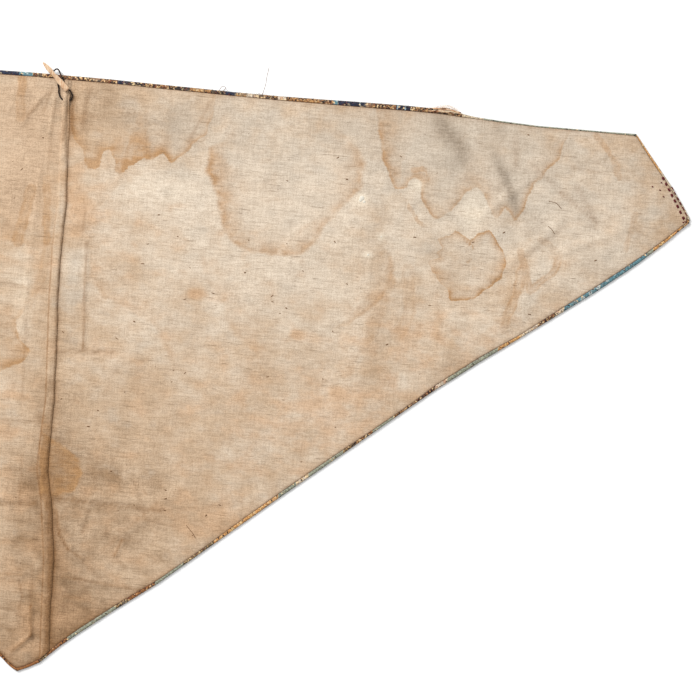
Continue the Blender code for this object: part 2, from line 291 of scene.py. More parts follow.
# Narrow creases that the solids leave out
CREASES = table(
    Fold,
    (39, 520, 46, 392, 3, 0.5), (505, 590, 560, 640, 5, 0.6), (528, 520, 600, 590, 6, 0.7),
    (455, 655, 475, 610, 5, 0.6), (560, 660, 640, 600, 6, 0.6), (610, 560, 700, 600, 6, 0.6),
    (480, 470, 540, 440, 6, 0.5), (90, 150, 180, 240, 6, 0.5), (31, 197, 53, 154, 3.5, 0.8),
    (53, 154, 66, 141, 3.5, 0.7), (72, 215, 60, 175, 4, 0.5), (11, 76, 14, 45, 3, 1.3),
    (14, 45, -10, 21, 3, 1.5), (-30, 113, -4, 114, 3, 0.8), (46, 116, 138, 108, 3.5, 0.7),
    (48, 92, 80, 90, 3, 0.6), (107, 150, 114, 166, 3, 0.7), (55, 95, 80, 80, 3, 0.5),
    (-30, 688, -47, 660, 3, 0.7), (-12, 690, -18, 640, 3, 0.6), (20, 690, 26, 640, 4, 0.5),
    (-24, 600, -30, 400, 4, 0.4), (-40, 205, -4, 208, 3, 0.5), (36, 206, 300, 240, 4, 0.35),
    (-300, 560, -180, 470, 6, 0.4))

# Water stains: a closed edge, or an open line of some width, with a strength at each mark and a
# band over which the colour fades inwards. Stains of one layer melt together.
Mark = namedtuple("Mark", "x y strength band", defaults=(None,))
Stain = namedtuple("Stain", "layer band soft fill width marks")
STAINS = table(
    Stain,
    (0, 9, 2, 0.12, 0, (
        (-4, 740, 0), (1, 682, 0.5, 14), (6, 661, 0.8, 12), (11, 644, 0.9, 9), (19, 636, 0.8),
        (26, 630, 1), (28, 615, 1.2, 12), (33, 609, 1.2, 12), (44, 608, 1.2, 12), (47, 617, 1.1, 12),
        (51, 631, 1, 14), (58, 633, 1, 14), (64, 618, 1, 14), (66, 606, 0.8, 16), (71, 603, 0.7, 18),
        (78, 606, 0.9, 24), (81, 617, 1.1, 26), (88, 618, 1.2, 30), (93, 625, 1.2, 30),
        (103, 625, 1.2, 24), (111, 626, 1.2, 16), (120, 633, 1.1, 10), (126, 631, 1, 7),
        (131, 621, 1, 8), (137, 625, 0.9, 6), (144, 634, 0.9, 5), (152, 642, 0.8, 5),
        (160, 652, 0.7, 5), (169, 659, 0.6, 5), (175, 679, 0.5, 5), (184, 740, 0))),
    (2, 12, 6, 0.14, 0, (
        (12, 640, 0), (5, 590, 0.3), (18, 566, 0.4), (52, 566, 0.4), (66, 585, 0.35), (78, 604, 0.2),
        (60, 640, 0))),
    (0, 14, 6, 0.05, 0, (
        (175, 647, 0.8, 18), (174, 619, 0.9, 22), (189, 588, 0.9, 20), (199, 557, 0.8, 12),
        (214, 534, 0.9, 12), (231, 525, 1, 11), (263, 525, 1, 9), (294, 527, 1, 9),
        (310, 541, 0.85, 8), (323, 566, 0.65, 7), (341, 588, 0.65, 8), (360, 611, 0.75, 16),
        (364, 643, 0.75, 20), (354, 658, 0.5), (320, 690, 0), (292, 701, 0), (235, 700, 0),
        (205, 682, 0), (193, 654, 0.35))),
    (1, 14, 7, 0.1, 0, (
        (175, 516, 0.2), (184, 487, 0.3), (210, 459, 0.3), (219, 430, 0.3), (251, 403, 0.35),
        (273, 368, 0.25), (356, 376, 0.2), (362, 382, 0.25), (382, 420, 0.4), (403, 458, 0.45),
        (410, 519, 0.25), (380, 560, 0), (200, 560, 0))),
    (2, 8, 4, 0.05, 0, (
        (410, 519, 0.55), (398, 484, 0.6), (362, 448, 0.5), (340, 440, 0.1), (360, 480, 0),
        (400, 540, 0))),
    (2, 12, 5, 0.04, 0, (
        (40, 530, 0.2), (43, 508, 0.35), (47, 481, 0.4), (51, 470, 0.45), (66, 456, 0.45),
        (97, 443, 0.35), (129, 428, 0.3), (157, 376, 0.2), (200, 420, 0), (120, 540, 0))),
    (0, 6, 2.4, 0.05, 0, (
        (366, 740, 0), (372, 703, 0.65, 16), (383, 649, 0.8, 14), (398, 622, 0.85, 11),
        (403, 615, 1, 7), (416, 617, 0.8, 5), (417, 626, 0.8, 5), (424, 633, 0.8, 6),
        (433, 626, 0.8, 7), (433, 608, 0.8, 6), (443, 594, 0.85, 5), (452, 583, 0.9, 4),
        (470, 593, 0.7, 5), (479, 604, 0.7, 6), (487, 619, 0.75, 8), (498, 625, 0.75, 14),
        (508, 621, 0.75, 10), (514, 603, 0.8, 5), (525, 590, 1, 4), (535, 605, 0.8, 4),
        (549, 589, 1, 4), (558, 610, 1, 4), (567, 633, 0.9, 4), (578, 650, 0.9, 4), (595, 669, 0.9, 5),
        (597, 684, 0.7, 5), (605, 702, 0.6, 4), (608, 740, 0))),
    (1, 5, 2, 0, 3.4, (
        (403, 615, 0.5), (416, 604, 0.5), (422, 592, 0.6), (433, 579, 0.6), (441, 574, 0.4))),
    (2, 5, 2, 0, 5, ((421, 640, 0.5), (436, 642, 0.6), (440, 630, 0.5))),
    (2, 3.6, 1.2, 0.02, 0, (
        (471, 566, 0.7), (478, 574, 1), (496, 562, 1.1), (505, 572, 1.1), (521, 574, 1.1),
        (536, 554, 1.3, 5), (542, 536, 1.4, 6), (537, 518, 1.4, 6), (514, 498, 1.2, 5),
        (497, 489, 1.1), (479, 489, 1.2), (475, 501, 0.9, 7), (461, 512, 0.7, 10), (454, 521, 0.6, 10),
        (449, 534, 0.5, 8), (464, 538, 0.5), (456, 544, 0.6), (463, 550, 0.6), (459, 560, 0.5))),
    (1, 10, 5, 0, 18, ((394, 534, 0.35), (399, 520, 0.5), (404, 504, 0.55))),
    (0, 3, 1.2, 0, 2.6, ((490, 562, 0.8), (501, 554, 0.8), (503, 545, 0.7), (496, 536, 0.5))),
    (1, 4, 3, 0, 8, (
        (557, 556, 0.4), (573, 509, 0.7), (590, 524, 0.7), (601, 536, 0.75), (606, 554, 0.5),
        (580, 570, 0.3))),
    (1, 4, 2.5, 0, 10, ((545, 462, 0.3), (550, 480, 0.6), (556, 498, 0.8), (560, 530, 0.5))),
    (1, 5, 3, 0, 7, ((635, 700, 0.5), (650, 684, 0.6), (662, 667, 0.55), (668, 650, 0.4))),
    (1, 5, 3, 0, 6, ((691, 610, 0.35), (683, 567, 0.35))),
    (1, 6, 4, 0, 14, ((425, 520, 0.25), (432, 470, 0.4), (420, 440, 0.3))),
    (0, 14, 2.5, 0.2, 0, (
        (-110, 470, 0), (-60, 470, 0.2), (-17, 457, 0.4), (-28, 432, 0.5), (-37, 416, 0.9),
        (-30, 396, 1), (-18, 386, 1), (-24, 369, 1), (-52, 357, 0.8), (-110, 352, 0.6))),
    (1, 5, 4, 0, 10, ((-6, 519, 0.5), (-11, 470, 0.4), (-23, 445, 0.3), (-33, 414, 0.3))),
    (2, 7, 3, 0, 9, ((-15, 592, 0.4), (-12, 560, 0.6), (-9, 516, 0.7))),
    (2, 8, 3, 0, 13, ((-33, 577, 0.4), (-38, 545, 0.6), (-43, 514, 0.6))),
    (2, 8, 4, 0, 11, ((-55, 707, 0.7), (-55, 686, 0.6), (-53, 662, 0.35))),
    (1, 20, 4, 0.4, 0, (
        (6, 516, 0.5), (-20, 508, 0.5), (-60, 515, 0.4), (-130, 530, 0.3), (-150, 740, 0), (6, 740, 0))),
    (0, 70, 4, 0, 0, (
        (7, 288, 0.7), (20, 281, 0.8), (53, 261, 0.9), (58, 241, 0.95), (50, 222, 0.95),
        (23, 212, 0.9), (10, 216, 0.7))),
    (1, 6, 3, 0, 12, ((10, 292, 0.5), (11, 262, 1), (13, 240, 1), (17, 215, 0.9), (25, 196, 0.5))),
    (1, 5, 3, 0, 4, ((24, 270, 0.5), (46, 262, 0.6), (52, 244, 0.6))))
STAIN_LAYERS = 3
GAP_MOST = 80.0

# Broad changes of the lining's tone, and narrow strips of painted light and shade on its wrinkles, above 0 for darker,
# as soft ovals turned by some degrees
Shade = namedtuple("Shade", "x y wide high amount turn", defaults=(0.0,))
TONES = table(
    Shade,
    (250, 560, 190, 120, -0.45), (130, 590, 60, 24, -0.6), (95, 540, 40, 60, -0.15),
    (560, 570, 130, 100, -0.35), (630, 585, 60, 50, -0.3), (597, 510, 26, 20, 0.4),
    (300, 600, 90, 60, -0.5), (455, 665, 34, 30, -0.4), (225, 190, 40, 26, 0.4),
    (16, 330, 36, 190, 0.6), (60, 70, 36, 28, 0.5), (-34, 255, 30, 40, 0.25), (70, 250, 34, 26, 0.35),
    (185, 565, 16, 20, 0.5), (70, 180, 100, 110, 0.9), (45, 40, 70, 60, 1), (-30, 100, 60, 90, 0.3),
    (-10, 680, 80, 50, 0.75), (-50, 560, 50, 120, 0.25), (100, 680, 90, 40, 0.35),
    (430, 690, 90, 26, 0.35), (170, 330, 70, 60, 0.25), (740, 620, 40, 50, 0.45),
    (215, 630, 34, 20, -0.5), (418, 668, 20, 26, -0.55), (545, 622, 60, 24, -0.45),
    (-50, 565, 26, 28, 0.55), (385, 572, 24, 32, 0.5), (255, 500, 60, 40, -0.35),
    (562, 545, 20, 16, 0.5), (-8, 222, 30, 22, 0.5), (145, 238, 40, 14, 0.35), (26, 485, 13, 26, -0.4),
    (82, 201, 34, 24, -0.35), (136, 444, 22, 20, -0.4), (375, 465, 24, 20, -0.3),
    (206, 330, 24, 20, -0.3), (326, 340, 26, 22, -0.35), (640, 550, 26, 20, -0.45),
    (-15, 99, 12, 14, -0.35), (-27, 581, 14, 18, 0.5), (159, 150, 16, 12, 0.35),
    (187, 208, 14, 12, 0.3), (23, 77, 18, 16, 0.35), (417, 676, 20, 24, -0.35), (172, 470, 10, 8, 0.8),
    (98, 490, 10, 20, 0.5), (299, 431, 7, 4, 0.9), (373, 419, 8, 50, -0.5), (387, 480, 8, 70, 0.4),
    (354, 689, 14, 16, -0.5), (384, 673, 10, 30, 0.4), (488, 690, 7, 16, -0.6),
    (512, 633, 6, 20, -0.5), (508, 518, 12, 20, -0.5), (574, 503, 7, 38, -0.6, 22),
    (549, 483, 5, 26, 0.6), (711, 612, 8, 24, -0.5), (694, 590, 6, 14, 0.5), (674, 564, 14, 13, -0.6),
    (629, 522, 9, 9, -0.5), (419, 382, 16, 14, -0.4), (396, 397, 16, 6, 0.4, -20),
    (466, 446, 4, 18, 0.5), (485, 440, 3.5, 14, 0.4), (500, 441, 8, 16, -0.4))

# Where the cloth is more orange, above 0, or greyer, below 0
WARMTH = table(
    Shade,
    (-60, 625, 66, 100, 1.6), (24, 552, 16, 28, 1.2), (26, 450, 16, 70, -0.9),
    (470, 680, 110, 50, -0.9), (-60, 300, 80, 140, 0.35), (40, 580, 40, 60, 0.35),
    (60, 120, 120, 120, 0.35), (540, 630, 240, 100, -0.75), (300, 670, 200, 60, -0.45),
    (330, 320, 160, 70, 0.5), (30, 40, 60, 60, 0.6), (120, 650, 70, 40, -0.35),
    (330, 640, 60, 60, 0.15), (470, 440, 90, 50, 0.6), (215, 200, 70, 40, 0.7),
    (365, 350, 50, 36, 0.6), (165, 675, 90, 34, -0.6), (-52, 560, 30, 36, 0.6),
    (560, 540, 26, 20, 0.9), (27, 488, 12, 26, -0.4), (3, 553, 6, 24, -1.5), (172, 470, 10, 8, 1.2),
    (299, 431, 8, 5, 1.6), (-27, 581, 14, 18, 0.5))

# Grey smudges, and pale places that are partly worn cloth and partly painted light on crumples and on the seam's
# ridge, as soft ovals
SOIL = table(
    Shade,
    (128, 672, 10, 18, 0.3), (70, 668, 34, 10, 0.22), (450, 698, 12, 16, 0.52, -45),
    (466, 680, 12, 20, 0.55, -40), (478, 660, 9, 16, 0.34, -10), (457, 652, 20, 8, 0.22),
    (522, 656, 6, 20, 0.55, -30), (537, 630, 6, 20, 0.6, -25), (547, 608, 6, 16, 0.45, -15),
    (34, 250, 24, 34, 0.24), (520, 700, 10, 12, 0.3), (500, 535, 30, 10, 0.16, -40),
    (572, 580, 12, 22, 0.18), (60, 110, 24, 40, 0.16), (455, 545, 22, 14, 0.14),
    (646, 545, 20, 10, 0.16))
PALE = table(
    Shade,
    (428, 622, 9, 7, 0.8), (497, 598, 14, 20, 0.6), (363, 600, 5.5, 6, 1.4), (390, 557, 4, 4, 0.8),
    (376, 534, 4.5, 3, 1), (3, 553, 6, 24, 0.15), (-34, 450, 14, 50, 0.3), (120, 590, 50, 14, 0.2))

# Old fold lines in the weave, darkened partly with dirt and partly with painted shade of creases that the relief
# doesn't show, as lines with a half width and a darkness
FOLD_LINES = table(
    Fold,
    (39, 520, 42, 455, 1.8, 0.5), (42, 455, 46, 392, 1.6, 0.6), (14, 386, 82, 392, 2.2, 0.45),
    (11, 516, 39, 520, 1.8, 0.4), (-16, 260, -14, 205, 2, 0.3), (-34, 240, 0, 242, 1.8, 0.3),
    (70, 200, 64, 172, 1.8, 0.35), (128, 196, 176, 190, 1.8, 0.3), (120, 240, 138, 196, 2.2, 0.25),
    (-60, 462, -6, 459, 2, 0.35), (15, 262, 95, 262, 2, 0.25), (-60, 298, 0, 300, 2, 0.25),
    (-60, 197, 6, 203, 2.2, 0.55), (34, 211, 154, 207, 2.4, 0.5), (154, 207, 250, 224, 2.4, 0.25),
    (-30, 115, -4, 116, 1.5, 0.55), (44, 118, 60, 117, 1.5, 0.55), (60, 117, 138, 110, 1.6, 0.55),
    (48, 95, 80, 93, 1.5, 0.45), (31, 197, 36, 170, 1.8, 0.55), (36, 170, 48, 152, 1.8, 0.7),
    (48, 152, 64, 143, 1.8, 0.7), (105, 149, 112, 168, 1.8, 0.6), (112, 168, 134, 168, 1.8, 0.35),
    (105, 149, 118, 136, 1.8, 0.45), (-7, 110, -1, 90, 1.6, 0.45), (-1, 90, -4, 76, 1.5, 0.4),
    (-30, 75, -9, 73, 1.5, 0.3), (-7, 69, 5, 66, 1.5, 0.45), (8, 130, 10, 80, 2.6, 0.35),
    (10, 80, 14, 45, 1.8, 0.7), (14, 45, -8, 24, 1.8, 0.55), (66, 141, 90, 120, 2, 0.3),
    (90, 155, 150, 215, 2.5, 0.25), (-13, 690, -15, 600, 2, 0.22), (-25, 420, -22, 330, 1.6, 0.3),
    (7, 690, 9, 650, 4.5, 0.75), (2, 676, 0, 640, 4, 0.4), (-52, 690, -44, 640, 9, 0.15),
    (-45, 664, -25, 690, 2, 0.45), (-18, 700, -26, 672, 2, 0.35), (26, 700, 22, 655, 3, 0.35),
    (96, 690, 102, 640, 4, 0.18), (172, 700, 150, 650, 2.4, 0.28), (560, 662, 600, 628, 3, 0.22),
    (600, 628, 640, 600, 2.4, 0.3), (540, 690, 543, 655, 4, 0.22), (612, 660, 650, 655, 2.4, 0.2),
    (560, 545, 610, 590, 3, 0.2), (9, 286, 12, 234, 4.5, 0.45), (12, 234, 20, 200, 4, 0.4),
    (30, 262, 30, 214, 6, 0.22), (34, 560, 34, 534, 1.6, 0.35), (6, 536, 72, 541, 1.8, 0.25),
    (-60, 532, -24, 530, 1.6, 0.3), (619, 637, 647, 594, 3.5, 0.3))

# The cloths of the patchwork, along the long edge from the left to the right
Patch = namedtuple("Patch", "start cloth")
TOP_PATCHES = table(
    Patch,
    (-84, "navy"), (-59, "steel"), (-43, "brown"), (59, "navy"), (71, "dusk"), (92, "brown"),
    (128, "dusk"), (146, "gold"), (172, "dusk"), (187, "navy"), (202, "gold"), (214, "cream"),
    (229, "brown"), (252, "cream"), (262, "gold"), (302, "brown"), (319, "steel"), (324, "navy"),
    (343, "wave"), (358, "brown"), (394, "wave"), (413, "brown"), (474, "beige"), (500, "sage"),
    (684, "orange"), (718, "beige"))

# The same along the slanting edge, from the tip to the cut corner
LOW_PATCHES = table(
    Patch,
    (0, "rust"), (26, "olive"), (34, "rust"), (57, "sage"), (112, "olive"), (126, "rust"),
    (156, "sage"), (188, "olive"), (222, "orange"), (294, "sage"), (314, "cream"), (328, "sage"),
    (367, "olive"), (382, "gold"), (400, "sage"), (424, "gold"), (436, "brown"), (470, "cream"),
    (484, "sage"), (541, "orange"), (568, "cream"), (586, "brown"), (606, "cream"), (616, "steel"),
    (709, "sage"), (716, "orange"), (747, "gold"))

# Where the rows of patches meet on the hidden side, and the cloths that take turns there
BANDS = (60.0, 150.0, 235.0, 300.0, 381.0, 466.0, 562.0)
BAND_CLOTHS = ("gold", "navy", "sage", "brown", "cream", "olive", "orange", "steel", "dusk", "wave")
BAND_PATCH = 66.0
BAND_SHIFT = 22.0
BORDER = 44.0
FAR_OFF = 1000.0
TWILL_PITCH = 0.9

# The silks: the colour and repeat of their figure, and the shares of pale and dark flecks
Silk = namedtuple("Silk", "name figure pattern pitch pale_flecks dark_flecks")
SILKS = table(
    Silk,
    ("navy", (176, 160, 128), "dots", 15.0, 0.06, 0.1),
    ("brown", (206, 168, 116), "lozenge", 14.0, 0.24, 0.36),
    ("gold", (110, 72, 44), "lozenge", 16.0, 0.2, 0.24),
    ("orange", (224, 190, 130), "stripe", 11.0, 0.15, 0.08),
    ("rust", (176, 128, 76), "plain", 9.0, 0.05, 0.14),
    ("sage", (122, 128, 116), "check", 12.0, 0.05, 0.04),
    ("steel", (212, 218, 214), "dots", 17.0, 0.06, 0.05),
    ("cream", (176, 128, 96), "dots", 16.0, 0.2, 0.06),
    ("olive", (176, 142, 92), "lozenge", 13.0, 0.2, 0.3),
    ("dusk", (176, 168, 132), "dots", 12.0, 0.26, 0.3),
    ("wave", (176, 196, 200), "stripe", 9.0, 0.1, 0.1),
    ("beige", (184, 150, 124), "plain", 10.0, 0.06, 0.0))

# The turned edge across its width: how far in, its height, and how high its underside is
Rim = namedtuple("Rim", "share top under")
RIM_PROFILE = table(
    Rim,
    (0, 0.42, 0.55), (0.1, 0.72, 0.12), (0.26, 0.92, 0), (0.48, 1, 0), (0.72, 1, 0), (0.92, 0.96, 0),
    (1, 0.78, 0))
RIM_REACH = 0.45
RIM_STEP = 0.12

# The route of the cord: out of the toggle, round its bight, through the seam and back up
Point = namedtuple("Point", "x y z")
CORD_ROUTE = table(
    Point,
    (-21.4, 720, 3.75), (-18.1, 720.6, 3.75), (-16.2, 722.6, 3.75), (-13.9, 723.3, 3.75),
    (-11.9, 721.9, 3.75), (-10.6, 719.4, 3.8), (-8, 714.8, 4.1), (-5.4, 710.6, 4.7),
    (-8.2, 707.4, 4.3), (-11.4, 704.9, 3.8), (-10.2, 700.6, 3.75), (-9.7, 695.4, 3.75),
    (-7.6, 690.4, 3.75), (-4.6, 687.5, 3.75), (-1, 686.4, 3.75), (2.6, 686.6, 3.75), (5.8, 688.6, 3.8),
    (6.7, 692.8, 4.4), (5.4, 696.6, 5.2), (2.6, 699.2, 5.55), (-1.4, 701.3, 5.55))
CORD_STEPS = 12
CORD_LENGTH = 0.0802
CORD_SIZE = 0.0015
PLY_RADIUS = 0.56
PLY_OFFSET = 0.42
PLY_TURN = 3.6

# The toggle along its own length: half width, and share of the full thickness
Station = namedtuple("Station", "along half_width share")
TOGGLE = table(
    Station,
    (0, 0.7, 0.5), (3, 1.6, 0.72), (7, 2.5, 0.9), (12, 2.9, 1), (16, 2.6, 1), (20, 2.2, 0.95),
    (24, 2.6, 1), (30, 3.3, 1), (37, 3.4, 1), (43, 3.3, 0.95), (45.6, 3, 0.8))
TOGGLE_THICK = 3.0
TOGGLE_RINGS = 56
TOGGLE_SIDES = 28
TOGGLE_SHARP = 1.0
TOGGLE_TIP = (-31.6, 729.6, 5.5)
TOGGLE_END = (1.5, 698.2, 8.2)

# Sewing at the cut corner: the start and end of each row of stitches
Row = namedtuple("Row", "x0 y0 x1 y1 count")
STITCH_ROWS = table(
    Row,
    (718.9, 659.4, 751.4, 608, 8), (717.9, 658.8, 750.4, 607.4, 8), (730.6, 648, 753.2, 613.2, 6))
STITCH_DOTS = (
    (708.5, 645.0), (717.8, 641.6), (718.8, 650.8), (722.7, 634.2), (751.2, 606.6), (749.0, 605.6),
)
STITCH_LONG = 4.2
STITCH_RADIUS = 0.78
STITCH_SINK = 0.15
STITCH_SEED = 4
DOT_HALF = (0.9, -0.4)
RIM_LUMPS = 0.35

# The fuzz on the long edge, thick in one place and thin along the rest, and the tuft of silk
Fuzz = namedtuple("Fuzz", "centre spread count tall")
FUZZ = table(Fuzz, (220, 16, 30, 4), (300, 160, 36, 2.5))
FUZZ_BASE = 2.7
FUZZ_RADIUS = (0.09, 0.17)
Strands = namedtuple("Strands", "count inward lift radius")
TUFT = table(
    Strands,
    (23, (0.3, 5.0), (0.4, 2.4), (0.3, 0.55)),
    (5, (-1.0, 2.0), (3.0, 6.0), (0.1, 0.15)))
TUFT_START = (431.0, 446.0)
TUFT_STOP = (464.0, 474.5)
TUFT_LEVEL = (3.0, 4.2)

# Loose threads that stand on the lining, each a bent line
THREADS = (
    ((233.0, 713.0), (236.0, 726.0), (237.0, 737.0), (238.5, 748.0)),
    ((180.0, 711.0), (184.0, 719.5), (189.0, 718.5), (185.0, 713.0)),
    ((586.3, 616.9), (595.4, 615.3), (602.0, 609.2)),
    ((587.7, 586.9), (592.2, 583.7), (596.2, 578.6)),
    ((187.5, 192.5), (192.5, 187.0), (196.0, 183.5), (199.5, 178.0)),
)
THREAD_RADIUS = 0.3
THREAD_LIFT = 0.15
THREAD_ON_RIM = 2.9
THREAD_SEED = 9

# The dark husks in the weave: their sizes and places
HUSK_LONG = (1.6, 4.4)
HUSK_RADIUS = (0.35, 0.7)
HUSK_RISE = 0.1
SPECKS = (
    (165, 500), (231, 500), (272, 614), (232, 539), (278, 539), (335, 546), (300, 508),
    (108, 500), (156, 376), (170, 374), (155, 362), (355, 325), (160, 208), (105, 203),
    (225, 220), (123, 211), (210, 206), (196, 181), (318, 280), (47, 55), (-19, 208),
    (3, 250), (5, 232), (555, 694), (536, 575), (648, 551), (159, 232), (160, 222), (92, 249),
    (330, 647), (354, 497), (284, 462), (267, 468), (408, 429), (269, 378), (290, 352), (342, 439),
    (335, 381), (147, 536), (112, 524), (162, 462), (266, 475), (277, 455), (122, 560), (195, 472),
    (104, 430), (405, 655), (430, 560), (343, 622), (500, 560), (575, 480), (455, 480), (-24, 640),
    (-46, 600), (-52, 565), (20, 410), (85, 408), (25, 330), (100, 345), (70, 320), (60, 300),
)

# Flecks of pale lint, each a place and a radius, and how deep they sink and how high they rise
LINT = (
    (363.0, 601.0, 3.2), (361.5, 598.5, 2.2), (366.0, 597.0, 1.8), (376.0, 534.0, 1.4),
    (390.0, 557.0, 1.1),
)
LINT_SINK = 0.3
LINT_SHARE = 0.3

# Camera and stage
TURN = 5.0
CAMERA_AT = (0.3645, 0.0601, 1.983)
LENS = 85.0
SENSOR = 36.0
FLOOR_REACH = 6.0
FLOOR_LEVEL = -0.0004
LAMP_AT = (-2.4, 2.8, 2.9)
LAMP_AIM = (0.3, 0.0, 0.0)
LAMP_SIZE = 2.0


def shade_of(red, green, blue):
    """A colour given as it shows on a screen, from 0 to 255, as Blender's linear colour."""
    def linear(level):
        level /= 255.0
        return level / 12.92 if level <= 0.04045 else ((level + 0.055) / 1.055) ** 2.4
    return (linear(red), linear(green), linear(blue))


def colour_setting(name, description, default):
    return FloatVectorProperty(
        name=name, description=description, default=default, size=3, min=0.0, max=1.0, subtype="COLOR"
    )


class LiningSettings(bpy.types.PropertyGroup):
    light: colour_setting("Light cloth", "Colour of the clean, worn lining", shade_of(214, 198, 178))
    middle: colour_setting("Aged cloth", "Colour of the aged lining", shade_of(192, 166, 138))
    dark: colour_setting("Dark cloth", "Colour of the lining near the tip", shade_of(146, 116, 86))
    warm: colour_setting("Warm mottle", "Colour of the orange brown mottling", shade_of(200, 162, 126))
    cool: colour_setting("Grey mottle", "Colour of the grey mottling", shade_of(192, 180, 164))
    stain: colour_setting("Stain edge", "Colour of the edges of the water stains", shade_of(174, 131, 86))
    soak: colour_setting("Soaked cloth", "Colour inside the water stains", shade_of(196, 178, 156))
    soil: colour_setting("Smudge", "Colour of the grey smudges", shade_of(136, 121, 104))
    # crease: colour of the painted shade in the seam, along the fold lines and at the edges, and of their dirt
    crease: colour_setting("Crease", "Colour of the dirt in the seam and folds", shade_of(130, 94, 60))
    # pale: colour of the pale places, worn cloth and painted light alike
    pale: colour_setting("Worn cloth", "Colour of the palest places", shade_of(230, 217, 196))
    slub: colour_setting("Slub", "Colour of the thick brown threads", shade_of(104, 78, 54))


class PatchworkSettings(bpy.types.PropertyGroup):
    navy: colour_setting("Navy", "Dark blue silk", shade_of(40, 46, 66))
    brown: colour_setting("Brown", "Gold brown brocade", shade_of(116, 80, 54))
    gold: colour_setting("Gold", "Gold brocade", shade_of(172, 130, 84))
    orange: colour_setting("Orange", "Orange gold brocade", shade_of(196, 146, 92))
    rust: colour_setting("Rust", "Orange brown silk near the tip", shade_of(146, 98, 58))
    sage: colour_setting("Sage", "Grey green silk", shade_of(146, 148, 130))
    steel: colour_setting("Steel", "Grey blue silk", shade_of(94, 132, 142))
    cream: colour_setting("Cream", "Cream silk", shade_of(200, 184, 164))
    olive: colour_setting("Olive", "Dark green brown brocade", shade_of(98, 84, 66))
    dusk: colour_setting("Dusk", "Dark brocade with pale flecks", shade_of(50, 44, 42))
    wave: colour_setting("Wave", "Dark blue silk with pale blue stripes", shade_of(34, 38, 54))
    beige: colour_setting("Beige", "Plain beige facing", shade_of(190, 174, 150))


class HeadSettings(bpy.types.PropertyGroup):
    cord: colour_setting("Cord", "Colour of the twisted cord", shade_of(46, 36, 32))
    toggle: colour_setting("Toggle", "Colour of the toggle", shade_of(216, 192, 162))
    ply: FloatProperty(
        name="Ply radius", description="Radius of one strand of the cord", default=PLY_RADIUS * MM,
        min=0.0001, max=0.001, unit="LENGTH"
    )


class SewingSettings(bpy.types.PropertyGroup):
    stitch: colour_setting("Stitches", "Colour of the dark red sewing thread", shade_of(104, 34, 38))
    fray: colour_setting("Frayed threads", "Colour of the fuzz on the long edge", shade_of(176, 160, 140))
    tuft: colour_setting("Loose silk", "Colour of the tuft of loose gold silk", shade_of(206, 148, 104))
    speck: colour_setting("Specks", "Colour of the dark husks in the weave", shade_of(126, 88, 56))
    lint: colour_setting("Lint", "Colour of the flecks of lint", shade_of(246, 238, 222))


class StageSettings(bpy.types.PropertyGroup):
    floor: colour_setting("Floor", "Colour of the floor", (0.95, 0.95, 0.95))
    lamp: FloatProperty(
        name="Lamp", description="Power of the soft lamp", default=235.0, min=0.0, unit="POWER"
    )
    sky: FloatProperty(name="Fill", description="Strength of the even fill light", default=0.66, min=0.0)
    camera_height: FloatProperty(
        name="Camera height", description="Height of the camera above the floor", default=CAMERA_AT[2],
        min=0.5, unit="LENGTH"
    )


class Amount:
    """A shader socket that takes part in Python sums, each of which adds a Math node."""

    def __init__(self, finish, socket):
        self.finish = finish
        self.socket = socket

    def __add__(self, other):
        return self.finish.sum("ADD", self, other)

    __radd__ = __add__

    def __sub__(self, other):
        return self.finish.sum("SUBTRACT", self, other)

    def __rsub__(self, other):
        return self.finish.sum("SUBTRACT", other, self)

    def __mul__(self, other):
        return self.finish.sum("MULTIPLY", self, other)

    __rmul__ = __mul__

    def __truediv__(self, other):
        return self.finish.sum("DIVIDE", self, other)

    def __rpow__(self, other):
        return self.finish.sum("POWER", other, self)


